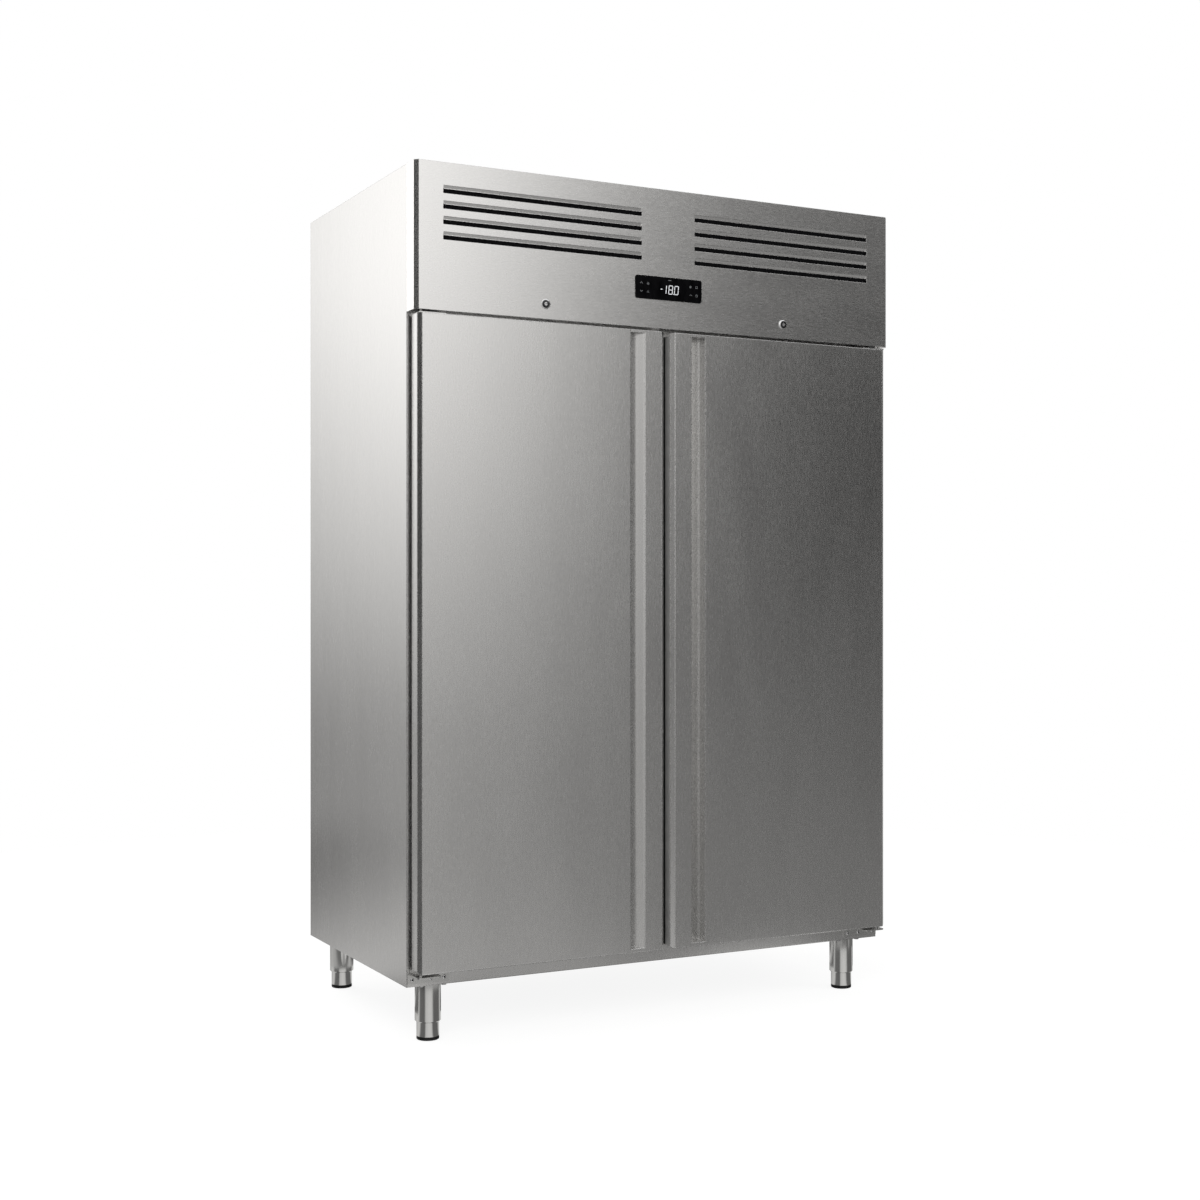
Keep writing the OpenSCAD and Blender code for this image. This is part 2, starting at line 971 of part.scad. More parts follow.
module gasket() {
    bellows = gasket_gap - seat_gap - gasket_head - gasket_base;
    y1 = y_door_back + gasket_base;
    color(rubber)
        union() {
            door_ring(y_door_back, gasket_base, gasket_in + gasket_foot_in, gasket_w - 2 * gasket_foot_in);
            door_ring(y1, bellows, gasket_in + (gasket_w - gasket_stem) / 2, gasket_stem);
            door_ring(y1 + bellows, gasket_head, gasket_in, gasket_w);
        }
}

module hinge_bushes() {
    plate_y0 = y_front + 2 * sheet;
    color(steel)
        difference() {
            union() {
                bush_place(bush_r, false);
                bush_place(bush_r, true);
                translate([door_x0 + door_plate_in, plate_y0, z_door_top])
                    cube([door_plate_l, door_plate_w, door_plate_t]);
            }
            translate([-x_pin, y_pin, z_door - cut])
                cylinder(r = pin_r + run_fit, h = pin_l + cut);
            translate([-x_pin, y_pin, z_door_top - pin_l - free_gap])
                cylinder(r = pin_r + run_fit, h = pin_l + door_plate_t + free_gap + cut);
        }
}

module left_door_skin() { door_skin(); }
module left_handle_profile() { handle_profile(); }
module left_door_foam() { door_foam(); }
module left_door_inner() { door_inner(); }
module left_gasket() { gasket(); }
module left_hinge_bushes() { hinge_bushes(); }
module right_door_skin() { right_side() door_skin(); }
module right_handle_profile() { right_side() handle_profile(); }
module right_door_foam() { right_side() door_foam(); }
module right_door_inner() { right_side() door_inner(); }
module right_gasket() { right_side() gasket(); }
module right_hinge_bushes() { right_side() hinge_bushes(); }

// Hinge brackets

module screw_hole(x, z) {
    rod_y([x, y_seal - plate_t - cut, z], screw_r + seat_gap, plate_t + 2 * cut);
}

module lower_bracket() {
    x0 = -x_side + plate_edge;
    arm_x0 = -x_pin - arm_end;
    color(steel)
        difference() {
            union() {
                block([x0, y_seal - plate_t, z_bottom + plate_low], [x0 + plate_l, y_seal, z_arm]);
                translate([0, 0, z_arm - plate_t])
                    linear_extrude(plate_t)
                        translate([arm_x0, y_pin - arm_end])
                            union() {
                                translate([0, arm_r])
                                    square([arm_w, y_seal - y_pin + arm_end - arm_r]);
                                translate([arm_r, 0])
                                    square([arm_w - 2 * arm_r, arm_r + 1]);
                                for (x = [arm_r, arm_w - arm_r])
                                    translate([x, arm_r])
                                        circle(arm_r);
                            }
                translate([-x_pin, y_pin, z_arm - plate_t])
                    cylinder(r = pin_r, h = z_door + pin_l - z_arm + plate_t);
            }
            for (s = lower_screws)
                screw_hole(x0 + s, lower_screw_z);
        }
}

upper_x0 = -x_skin + free_gap;
lower_screw_z = (z_bottom + plate_low + z_arm - plate_t) / 2;
upper_screw_z = (z_fascia + sheet + plate_t + z_deck) / 2;

module upper_bracket() {
    z0 = z_fascia + sheet;
    color(steel)
        difference() {
            union() {
                block([upper_x0, y_seal - plate_t, z0], [upper_x0 + upper_l, y_seal, z_deck]);
                block([-x_pin - arm_end, y_pin - arm_end, z0], [-x_pin + arm_end, y_seal, z0 + plate_t]);
                translate([-x_pin, y_pin, z_door_top - pin_l])
                    cylinder(r = pin_r, h = z0 + plate_t - z_door_top + pin_l);
            }
            for (s = upper_screws)
                screw_hole(upper_x0 + s, upper_screw_z);
        }
}

module hinge_brackets() {
    lower_bracket();
    upper_bracket();
    right_side() {
        lower_bracket();
        upper_bracket();
    }
}

// Legs and feet

leg_xy = [
    [-x_side + leg_side, y_seal + leg_front],
    [x_side - leg_side, y_seal + leg_front],
    [-x_side + leg_side, y_back - leg_rear],
    [x_side - leg_side, y_back - leg_rear]];

module leg_tube() {
    z_plate = z_bottom - leg_plate_t;
    inner_r = leg_r - leg_wall;
    neck_r = foot_r + run_fit;
    difference() {
        union() {
            rotate_extrude()
                polygon([
                    [neck_r, foot_show], [leg_r - collar_chamfer, foot_show],
                    [leg_r, foot_show + collar_chamfer], [leg_r, z_bottom], [inner_r, z_bottom],
                    [inner_r, foot_show + collar_h], [neck_r, foot_show + collar_h]]);
            block([-leg_plate / 2, -leg_plate / 2, z_plate], [leg_plate / 2, leg_plate / 2, z_bottom]);
        }
        for (x = [-leg_bolt, leg_bolt], y = [-leg_bolt, leg_bolt])
            translate([x, y, z_plate - cut])
                cylinder(r = leg_bolt_r + seat_gap, h = leg_plate_t + 2 * cut);
    }
}

module leg_tubes() {
    color(steel)
        for (p = leg_xy)
            translate([p[0], p[1], 0])
                leg_tube();
}

module foot(i) {
    z1 = min(foot_show + collar_h + foot_travel + foot_grip, z_bottom - leg_plate_t - free_gap);
    color(steel)
        translate([leg_xy[i][0], leg_xy[i][1], 0])
            difference() {
                translate([0, 0, pad_h])
                    cylinder(r = foot_r, h = z1 - pad_h);
                translate([0, 0, pad_h + foot_wall])
                    cylinder(r = foot_r - foot_wall, h = z1 - pad_h);
            }
}

module pad(i) {
    edge = 1.5;
    color(rubber)
        translate([leg_xy[i][0], leg_xy[i][1], 0])
            rotate_extrude()
                polygon([[0, 0], [foot_r - edge, 0], [foot_r, edge], [foot_r, pad_h], [0, pad_h]]);
}

module front_left_foot() { foot(0); }
module front_right_foot() { foot(1); }
module rear_left_foot() { foot(2); }
module rear_right_foot() { foot(3); }
module front_left_pad() { pad(0); }
module front_right_pad() { pad(1); }
module rear_left_pad() { pad(2); }
module rear_right_pad() { pad(3); }

// Screws and bolts

module bracket_screw(x, z) {
    rod_y([x, y_seal - plate_t, z], screw_r, plate_t);
    rod_y([x, y_seal - plate_t - head_t, z], screw_r + head_over, head_t);
}

module left_screws() {
    for (s = lower_screws)
        bracket_screw(-x_side + plate_edge + s, lower_screw_z);
    for (s = upper_screws)
        bracket_screw(upper_x0 + s, upper_screw_z);
    for (z = rear_screw_z) {
        rod_y([-x_side + flange_w / 2, y_back - sheet, z], screw_r, sheet);
        rod_y([-x_side + flange_w / 2, y_back, z], screw_r + head_over, head_t);
    }
}

module leg_bolts() {
    head_h = 4.5;
    nut_r = leg_bolt_r + 3;
    for (p = leg_xy, x = [-leg_bolt, leg_bolt], y = [-leg_bolt, leg_bolt])
        translate([p[0] + x, p[1] + y, 0]) {
            translate([0, 0, z_bottom - leg_plate_t])
                cylinder(r = leg_bolt_r, h = leg_plate_t);
            translate([0, 0, z_bottom - leg_plate_t - head_h])
                cylinder(r = nut_r, h = head_h, $fn = 6);
        }
}

module screws() {
    color(chrome) {
        left_screws();
        right_side()
            left_screws();
        leg_bolts();
    }
}

// Racks, runners and shelves

module upright(x0, x1, y, z0, z1) {
    difference() {
        block([x0, y, z0], [x1, y + upright_w, z1]);
        for (z = [z_runner - slot_pitch / 2 : slot_pitch : min(z1, z_upright + upright_h) - slot_h])
            translate([0, y + upright_w / 2, z])
                block([x0 - cut, -slot_w / 2, -slot_h / 2], [x1 + cut, slot_w / 2, slot_h / 2]);
    }
}

module rack_uprights() {
    color(inner_steel) {
        for (y = [y_upright_front, y_upright_rear]) {
            upright(-x_wall, -x_wall + upright_d, y, z_upright, z_upright + upright_h);
            upright(x_wall - upright_d, x_wall, y, z_upright, z_upright + upright_h);
        }
        upright(-centre_half, centre_half, y_upright_front, z_floor, z_ceiling);
        upright(-centre_half, centre_half, y_upright_rear, z_floor, z_evap);
    }
}

// Angle runner from the web at x_web towards a shelf edge at x_edge
module runner(x_web, x_edge, z) {
    s = sign(x_edge - x_web);
    x_in = x_edge + s * ledge_over;
    x_out = x_web + s * web_t;
    block([min(x_web, x_out), y_runner_front, z - runner_web], [max(x_web, x_out), y_runner_rear, z]);
    block([min(x_web, x_in), y_runner_front, z - web_t], [max(x_web, x_in), y_runner_rear, z]);
}

module shelf_runners() {
    color(inner_steel)
        for (i = [0 : shelf_n - 1], side = [-1, 1]) {
            z = z_runner + i * shelf_pitch;
            runner(side * (x_wall - upright_d), side * (bay_x + shelf_w / 2), z);
            runner(side * centre_half, side * (bay_x - shelf_w / 2), z);
        }
}

module wire_shelf() {
    n = floor((shelf_w - 2 * rod_d) / wire_pitch);
    gap = (shelf_w - 2 * rod_d) / n;
    linear_extrude(wire_d)
        union() {
            difference() {
                square([shelf_w, shelf_d]);
                translate([rod_d, rod_d])
                    square([shelf_w - 2 * rod_d, shelf_d - 2 * rod_d]);
            }
            for (i = [1 : n - 1])
                translate([rod_d + i * gap - wire_d / 2, 1])
                    square([wire_d, shelf_d - 2]);
            for (i = [1 : cross_rods])
                translate([1, i * shelf_d / (cross_rods + 1) - wire_d / 2])
                    square([shelf_w - 2, wire_d]);
        }
}

module wire_shelves() {
    color(chrome)
        for (i = [0 : shelf_n - 1], side = [-1, 1])
            translate([side * bay_x - shelf_w / 2, y_shelf, z_runner + i * shelf_pitch])
                wire_shelf();
}

// Evaporator

// Ring slots of a fan guard, cut through a sheet in x and z
module guard_slots(r) {
    difference() {
        for (a = [guard_gap : 2 * guard_gap : r - ring_w])
            difference() {
                circle(min(a + 2 * guard_gap - ring_w, r));
                circle(a);
            }
        for (t = [45, 135])
            rotate(t)
                translate([-r, -ring_w / 2])
                    square([2 * r, ring_w]);
    }
}

module evaporator_cover() {
    x = evap_w / 2;
    color(inner_steel)
        difference() {
            block([-x, y_evap, z_evap], [x, y_rear_wall, z_ceiling]);
            block([-x + sheet, y_evap + sheet, z_evap + sheet],
                  [x - sheet, y_rear_wall + cut, z_ceiling + cut]);
            along_y(y_evap - cut, sheet + 2 * cut)
                for (side = [-1, 1])
                    translate([side * evap_fan_x, evap_fan_z])
                        guard_slots(evap_fan_d / 2);
            translate([0, y_evap + return_in, z_evap - cut])
                linear_extrude(sheet + 2 * cut)
                    vent_slots(evap_w - 2 * return_in, 4, 8, return_bridge, return_slot, return_pitch);
        }
}

// Motor with three arms that hold it behind a flat plate at y
module fan_motor(x, y, z, r) {
    y_motor = y + fan_back + fan_l + free_gap;
    y_arm = y_motor + arm_back;
    union() {
        rod_y([x, y_motor, z], motor_r, motor_l);
        rod_y([x, y + fan_back, z], shaft_r, fan_l + 2 * free_gap);
        for (a = [90, 210, 330])
            translate([x, 0, z])
                rotate([0, a, 0]) {
                    block([motor_r - arm_t, y_arm, -arm_t], [r + ring_w, y_arm + arm_t, arm_t]);
                    block([r + ring_w - arm_t, y, -arm_t], [r + ring_w, y_arm + arm_t, arm_t]);
                }
    }
}

module evaporator_motors() {
    color(black_plastic)
        for (side = [-1, 1])
            fan_motor(side * evap_fan_x, y_evap + sheet, evap_fan_z, evap_fan_d / 2);
}

// Fan rotor behind a flat plate at y
module fan_rotor(x, y, z, r) {
    span = r - hub_r - tip_gap;
    difference() {
        union() {
            rod_y([x, y + fan_back, z], hub_r, hub_l);
            for (i = [0 : blade_n - 1])
                translate([x, y + fan_back + hub_l / 2, z])
                    rotate([0, i * 360 / blade_n, 0])
                        rotate([blade_pitch, 0, 0])
                            translate([hub_r - blade_root, -blade_t / 2, -blade_w / 2])
                                cube([span + blade_root, blade_t, blade_w]);
        }
        rod_y([x, y + fan_back - cut, z], shaft_r + run_fit, hub_l + 2 * cut);
    }
}

module left_evaporator_fan() {
    color(black_plastic)
        fan_rotor(-evap_fan_x, y_evap + sheet, evap_fan_z, evap_fan_d / 2);
}

module right_evaporator_fan() {
    color(black_plastic)
        fan_rotor(evap_fan_x, y_evap + sheet, evap_fan_z, evap_fan_d / 2);
}

// Finned coil: fins across a spine, with an end plate at each end
module finned_coil(w, d, h) {
    n = floor((w - 2 * fin_t) / fin_pitch);
    linear_extrude(h)
        union() {
            translate([-w / 2, (d - fin_spine) / 2])
                square([w, fin_spine]);
            for (i = [0 : n])
                translate([-w / 2 + i * (w - fin_t) / n, 0])
                    square([fin_t, d]);
        }
}

module evaporator_coil() {
    color(fin_metal)
        translate([0, y_evap + coil_front, z_evap + coil_up])
            finned_coil(2 * coil_half, coil_d, z_ceiling - z_evap - coil_up);
}

module drip_tray() {
    x = coil_half + tray_out;
    y0 = y_evap + coil_front - tray_out;
    z0 = z_evap + sheet;
    color(inner_steel)
        difference() {
            block([-x, y0, z0], [x, y_rear_wall, z0 + tray_h]);
            block([-x + tray_t, y0 + tray_t, z0 + tray_t],
                  [x - tray_t, y_rear_wall - tray_t, z0 + tray_h + cut]);
            rod_y([drain_x, y_rear_wall - tray_t - cut, drain_z], drain_r + seat_gap, tray_t + 2 * cut);
        }
}

module drain_pipe() {
    color(grey_plastic)
        difference() {
            union() {
                drain_stub(0, y_rear_wall - drain_in);
                drain_down(0, z_bottom - drain_out);
            }
            drain_stub(-drain_wall, y_rear_wall - drain_in - cut);
            drain_down(-drain_wall, z_bottom - drain_out - cut);
        }
}

// Condensing unit

module unit_base() {
    color(dark_steel)
        block([base_x0, base_y0, z_deck], [base_x1, base_y1, z_base]);
}

comp_corners = [
    for (x = [-1, 1], y = [-1, 1])
        [comp_x + x * (comp_half_x - comp_foot_in / 2), comp_y + y * (comp_plate - comp_foot_in) / 2]];

module compressor() {
    r = comp_d / 2;
    color(rubber)
        union() {
            translate([comp_x, comp_y, z_comp])
                rotate_extrude()
                    union() {
                        square([r - comp_round, comp_h]);
                        square([r, comp_h - comp_round]);
                        translate([r - comp_round, comp_h - comp_round])
                            circle(comp_round);
                    }
            block([comp_x - comp_half_x, comp_y - comp_plate / 2, z_comp - comp_plate_t],
                  [comp_x + comp_half_x, comp_y + comp_plate / 2, z_comp]);
            translate([comp_x, comp_y - term_w / 2, z_comp + term_up])
                cube([r + term_out, term_w, term_h]);
        }
}

module compressor_feet() {
    color(rubber)
        for (p = comp_corners)
            translate([p[0], p[1], z_base])
                cylinder(r = comp_foot_r, h = comp_foot_h);
}

module condenser() {
    color(fin_metal)
        translate([cond_x, cond_y, z_base])
            finned_coil(cond_w, cond_d, cond_h);
}

module fan_shroud() {
    x0 = cond_x - cond_w / 2;
    x1 = cond_x + cond_w / 2;
    y0 = cond_y + cond_d;
    color(dark_steel)
        union() {
            difference() {
                block([x0, y0, z_base], [x1, y_shroud + shroud_t, z_base + cond_h]);
                block([x0 + shroud_t, y0 - cut, z_base + shroud_t],
                      [x1 - shroud_t, y_shroud, z_base + cond_h - shroud_t]);
                rod_y([cond_x, y_shroud - cut, cond_fan_z], cond_fan_d / 2, shroud_t + 2 * cut);
            }
            fan_motor(cond_x, y_shroud + shroud_t, cond_fan_z, cond_fan_d / 2);
        }
}

module condenser_fan() {
    color(black_plastic)
        fan_rotor(cond_x, y_shroud + shroud_t, cond_fan_z, cond_fan_d / 2);
}

// Pipe with square bends through points that differ in one direction at a time
bend_over = 0.9;

module pipe(points, r) {
    for (i = [0 : len(points) - 2]) {
        a = points[i];
        b = points[i + 1];
        d = b - a;
        l = norm(d);
        along_z = [d[2] > 0 ? 0 : 180, 0, 0];
        flat = d[0] != 0 ? [0, sign(d[0]) * 90, 0] : [-sign(d[1]) * 90, 0, 0];
        turn = d[2] != 0 ? along_z : flat;
        start = i == 0 ? 0 : r * bend_over;
        end = i == len(points) - 2 ? 0 : r * bend_over;
        translate(a)
            rotate(turn)
                translate([0, 0, -start])
                    cylinder(r = r, h = l + start + end, $fn = pipe_sides);
    }
}

module refrigerant_pipes() {
    lane = 3 * pipe_r;
    drier_r = 12;
    drier_l = 90;
    z_suction = z_comp + comp_h + pipe_rise;
    z_discharge = z_suction + pipe_rise;
    z_liquid = z_base + 2 * pipe_rise;
    z_suction_in = z_ceiling - pipe_rise;
    z_liquid_in = z_suction_in - pipe_rise;
    x_suction = pipe_hole_x - lane;
    x_discharge = cond_x + cond_w / 2 - 2 * pipe_rise;
    x_liquid = base_x1 - pipe_rise;
    x_port = comp_x - comp_d / 5;
    y_cond = cond_y + cond_d / 2;
    y_liquid = pipe_hole_y + lane;
    color(copper)
        union() {
            // Suction line from the evaporator to the compressor
            pipe([
                [coil_half, pipe_hole_y, z_suction_in],
                [x_suction, pipe_hole_y, z_suction_in],
                [x_suction, pipe_hole_y, z_suction],
                [comp_x, pipe_hole_y, z_suction],
                [comp_x, comp_y, z_suction],
                [comp_x, comp_y, z_comp + comp_h]], pipe_r);
            // Discharge line from the compressor to the condenser
            pipe([
                [x_port, comp_y, z_comp + comp_h],
                [x_port, comp_y, z_discharge],
                [x_discharge, comp_y, z_discharge],
                [x_discharge, y_cond, z_discharge],
                [x_discharge, y_cond, z_base + cond_h]], pipe_r);
            // Liquid line with its filter drier from the condenser to the evaporator
            pipe([
                [cond_x + cond_w / 2, y_cond, z_liquid],
                [x_liquid, y_cond, z_liquid],
                [x_liquid, y_liquid, z_liquid],
                [pipe_hole_x, y_liquid, z_liquid],
                [pipe_hole_x, y_liquid, z_liquid_in],
                [coil_half, y_liquid, z_liquid_in]], pipe_r);
            rod_y([x_liquid, y_cond + drier_l, z_liquid], drier_r, drier_l);
        }
}

module electrical_box() {
    color(grey_plastic)
        union() {
            block([box_x, box_y, z_deck], [box_x + box_w, box_y + box_d, z_deck + box_h]);
            block([box_x - lid_over, box_y - lid_front, z_deck + box_h - lid_h],
                  [box_x + box_w + lid_over, box_y + box_d + lid_over, z_deck + box_h + lid_over]);
        }
}

module cable_gland() {
    nut_r = gland_r + gland_nut;
    z = z_deck + gland_up;
    color(black_plastic)
        difference() {
            union() {
                rod_y([gland_x, y_back - gland_in, z], gland_r, gland_in + gland_out);
                translate([gland_x, y_back - 2 * sheet - gland_nut, z])
                    rotate([-90, 0, 0])
                        cylinder(r = nut_r, h = gland_nut, $fn = 6);
            }
            rod_y([gland_x, y_back - gland_in - cut, z], cable_r, gland_in + gland_out + 2 * cut);
        }
}

left_side_panel();
right_side_panel();
back_panel();
bottom_panel();
deck_panel();
front_frame();
inner_liner();
insulation();
centre_post();
top_cover();
rear_grille();
fascia();
display_glass();
controller();
lock_housings();
door_sensors();
unit_base();
compressor();
compressor_feet();
condenser();
fan_shroud();
refrigerant_pipes();
electrical_box();
cable_gland();
evaporator_cover();
evaporator_coil();
drip_tray();
drain_pipe();
evaporator_motors();
rack_uprights();
shelf_runners();
wire_shelves();
hinge_brackets();
leg_tubes();
screws();
left_door_skin();
left_handle_profile();
left_door_foam();
left_door_inner();
left_gasket();
left_hinge_bushes();
right_door_skin();
right_handle_profile();
right_door_foam();
right_door_inner();
right_gasket();
right_hinge_bushes();
left_lock_cylinder();
right_lock_cylinder();
left_evaporator_fan();
right_evaporator_fan();
condenser_fan();
front_left_foot();
front_right_foot();
rear_left_foot();
rear_right_foot();
front_left_pad();
front_right_pad();
rear_left_pad();
rear_right_pad();
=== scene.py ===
import json
import math

import bmesh
import bpy
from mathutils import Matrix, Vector


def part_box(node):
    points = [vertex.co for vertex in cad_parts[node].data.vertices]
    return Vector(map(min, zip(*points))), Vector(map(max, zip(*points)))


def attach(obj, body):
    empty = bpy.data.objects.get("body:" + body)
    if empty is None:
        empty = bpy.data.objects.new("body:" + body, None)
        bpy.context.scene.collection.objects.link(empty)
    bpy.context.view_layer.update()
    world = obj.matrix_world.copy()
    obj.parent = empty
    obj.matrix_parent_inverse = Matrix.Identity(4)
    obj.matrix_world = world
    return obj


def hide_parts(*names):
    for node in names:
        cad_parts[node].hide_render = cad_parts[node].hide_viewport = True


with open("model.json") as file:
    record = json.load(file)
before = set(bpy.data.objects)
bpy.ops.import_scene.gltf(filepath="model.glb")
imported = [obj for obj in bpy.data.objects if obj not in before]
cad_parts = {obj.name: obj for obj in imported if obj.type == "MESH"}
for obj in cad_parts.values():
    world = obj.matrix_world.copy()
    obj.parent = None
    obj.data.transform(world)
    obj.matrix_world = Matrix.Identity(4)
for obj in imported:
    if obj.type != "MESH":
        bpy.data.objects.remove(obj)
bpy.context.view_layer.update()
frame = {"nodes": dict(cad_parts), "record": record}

NODES = frame["nodes"]
SLOT_OF = {s["node"]: s["material_slot"] for s in frame["record"]["subparts"]}


# Materials

# Range of the noise that is stretched to 0..1, and of the cosine between flat and rounded normals
NOISE_LOW, NOISE_HIGH = 0.3, 0.7
FLAT_COS, EDGE_COS = 0.995, 0.8
# Noise scales of brushed steel in cells per metre, across and along its grain
LINES, DASHES, CLOUDS = (1100.0, 26.0), (280.0, 75.0), (11.0, 3.0)
ALONG_X, ALONG_Z = 0, 2
# Tint of edges, lighter from wear and a painted edge highlight, and of the louvre blades' painted
# highlight, times the metal's own tint
WEAR_AND_HIGHLIGHT, BLADE_PAINTED_HIGHLIGHT = 1.18, 1.36
# Depth over which the blades' painted highlight fades in, and half the width of a soft edge of the
# lock's ring of painted shade
BEHIND_FADE, RING_SOFT = 0.0003, 0.0004


def empty_tree(owner):
    """Node tree of a material or world, with nothing in it."""
    owner.use_nodes = True
    owner.node_tree.nodes.clear()
    return owner.node_tree


class Mat:
    """A node material round one principled shader, with object coordinates in metres."""

    def __init__(self, name, rough, metal=0.0, **sockets):
        self.m = bpy.data.materials.new(name)
        self.t = empty_tree(self.m)
        out = self.add("ShaderNodeOutputMaterial")
        self.p = self.add("ShaderNodeBsdfPrincipled")
        self.link(self.p.outputs["BSDF"], out.inputs["Surface"])
        self.p.inputs["Roughness"].default_value = rough
        self.p.inputs["Metallic"].default_value = metal
        for key, value in sockets.items():
            self.p.inputs[key.replace("_", " ")].default_value = value
        self.coord = self.add("ShaderNodeTexCoord").outputs["Object"]

    def add(self, kind, **props):
        n = self.t.nodes.new(kind)
        for key, value in props.items():
            setattr(n, key, value)
        return n

    def link(self, a, b):
        self.t.links.new(a, b)

    def math(self, op, *values):
        n = self.add("ShaderNodeMath", operation=op)
        for i, v in enumerate(values):
            if isinstance(v, (int, float)):
                n.inputs[i].default_value = v
            else:
                self.link(v, n.inputs[i])
        return n.outputs[0]

    def weighted(self, *pairs):
        """Sum of values, each times its weight."""
        scaled = [self.math("MULTIPLY", value, weight) for value, weight in pairs]
        total = scaled[0]
        for part in scaled[1:]:
            total = self.math("ADD", total, part)
        return total

    def axes(self):
        """The x, y and z of a point."""
        parts = self.add("ShaderNodeSeparateXYZ")
        self.link(self.coord, parts.inputs[0])
        return parts.outputs

    def noise(self, scale, detail=2.0):
        """Noise with cells of 1/scale metres along each axis, stretched to 0..1."""
        place = self.add("ShaderNodeMapping")
        place.inputs["Scale"].default_value = scale if hasattr(scale, "__len__") else (scale,) * 3
        n = self.add("ShaderNodeTexNoise")
        n.inputs["Scale"].default_value = 1.0
        n.inputs["Detail"].default_value = detail
        self.link(self.coord, place.inputs["Vector"])
        self.link(place.outputs[0], n.inputs["Vector"])
        return self.span(n.outputs[0], NOISE_LOW, NOISE_HIGH)

    def cells(self, scale):
        n = self.add("ShaderNodeTexVoronoi")
        n.inputs["Scale"].default_value = scale
        self.link(self.coord, n.inputs["Vector"])
        return n

    def span(self, value, low, high, to_low=0.0, to_high=1.0):
        n = self.add("ShaderNodeMapRange")
        for i, v in enumerate((low, high, to_low, to_high)):
            n.inputs[i + 1].default_value = v
        self.link(value, n.inputs[0])
        return n.outputs[0]

    def mix(self, factor, a, b):
        n = self.add("ShaderNodeMix", data_type="RGBA")
        self.link(factor, n.inputs[0])
        for i, v in ((6, a), (7, b)):
            if isinstance(v, (tuple, list)):
                n.inputs[i].default_value = (*v[:3], 1.0)
            else:
                self.link(v, n.inputs[i])
        return n.outputs[2]

    def colour(self, value):
        self.link(value, self.p.inputs["Base Color"])

    def roughness(self, value, low, high):
        self.link(self.span(value, 0.0, 1.0, low, high), self.p.inputs["Roughness"])

    def surface(self, height, strength, distance, edge):
        """Bump on top of edges rounded to a radius. Returns how close a point is to an edge."""
        bevel = self.add("ShaderNodeBevel", samples=4)
        bevel.inputs["Radius"].default_value = edge
        bump = self.add("ShaderNodeBump")
        bump.inputs["Strength"].default_value = strength
        bump.inputs["Distance"].default_value = distance
        self.link(height, bump.inputs["Height"])
        self.link(bevel.outputs[0], bump.inputs["Normal"])
        self.link(bump.outputs[0], self.p.inputs["Normal"])
        flat = self.add("ShaderNodeNewGeometry").outputs["Normal"]
        dot = self.add("ShaderNodeVectorMath", operation="DOT_PRODUCT")
        self.link(bevel.outputs[0], dot.inputs[0])
        self.link(flat, dot.inputs[1])
        return self.span(dot.outputs["Value"], FLAT_COS, EDGE_COS)


def shade(colour, k):
    return tuple(min(1.0, c * k) for c in colour[:3])


def grain_scale(along, across_grain, along_grain):
    """Noise scale on each axis, for a grain along one of them."""
    return [along_grain if axis == along else across_grain for axis in range(3)]


def brushed(name, tint, rough, along, mottle=0.04, fine=0.04, bump=0.08, edge=0.0012, behind=None):
    """Stainless steel with its grain along one axis: fine lines, short dashes and faint clouds.

    Behind a given y the metal's colour is lighter, a painted highlight on the blades pressed inward
    from the fascia.
    """
    m = Mat(name, rough, metal=1.0)
    lines = m.noise(grain_scale(along, *LINES), detail=3.0)
    dashes = m.noise(grain_scale(along, *DASHES), detail=2.0)
    clouds = m.noise(grain_scale(along, *CLOUDS), detail=2.0)
    mixed = m.weighted((lines, 0.35), (dashes, 0.45), (clouds, 0.2))
    colour = m.mix(mixed, shade(tint, 1 - mottle - fine), shade(tint, 1 + mottle + fine))
    near_edge = m.surface(mixed, strength=bump, distance=0.0004, edge=edge)
    # Lighter colour at edges, broken up by noise: partly wear, partly a painted edge highlight
    wear_and_highlight = m.math("MULTIPLY", near_edge, m.noise(60.0, detail=2.0))
    colour = m.mix(wear_and_highlight, colour, shade(tint, WEAR_AND_HIGHLIGHT))
    # Painted highlight: the louvre blades behind the given depth get a lighter colour than the brushed
    # steel
    if behind is not None:
        blade_highlight = m.span(m.axes()[1], behind, behind + BEHIND_FADE)
        colour = m.mix(blade_highlight, colour, shade(tint, BLADE_PAINTED_HIGHLIGHT))
    m.colour(colour)
    m.roughness(mixed, rough - 0.035, rough + 0.035)
    return m.m


def galvanised(name):
    m = Mat(name, 0.45, metal=1.0)
    cell = m.cells(55.0)
    tone = m.add("ShaderNodeSeparateColor")
    m.link(cell.outputs["Color"], tone.inputs[0])
    grain = m.noise(900.0)
    spangle = m.weighted((tone.outputs[0], 0.75), (grain, 0.25))
    near_edge = m.surface(spangle, strength=0.08, distance=0.0003, edge=0.0008)
    zinc = m.mix(spangle, (0.44, 0.46, 0.47), (0.62, 0.64, 0.65))
    m.colour(m.mix(near_edge, zinc, (0.7, 0.71, 0.72)))
    m.roughness(spangle, 0.36, 0.52)
    return m.m


def moulded(name, tint, rough, grain=1400.0, wear=1.6, bump=0.15, **sockets):
    """Moulded plastic or rubber: a fine texture, a bloom of dust and lighter edges."""
    m = Mat(name, rough, **sockets)
    texture = m.noise(grain, detail=3.0)
    bloom = m.noise(30.0, detail=3.0)
    both = m.weighted((texture, 0.5), (bloom, 0.5))
    near_edge = m.surface(texture, strength=bump, distance=0.0002, edge=0.0008)
    colour = m.mix(both, shade(tint, 0.85), shade(tint, 1.2))
    m.colour(m.mix(m.math("MULTIPLY", near_edge, m.noise(80.0)), colour, shade(tint, wear)))
    m.roughness(both, rough - 0.07, rough + 0.07)
    return m.m


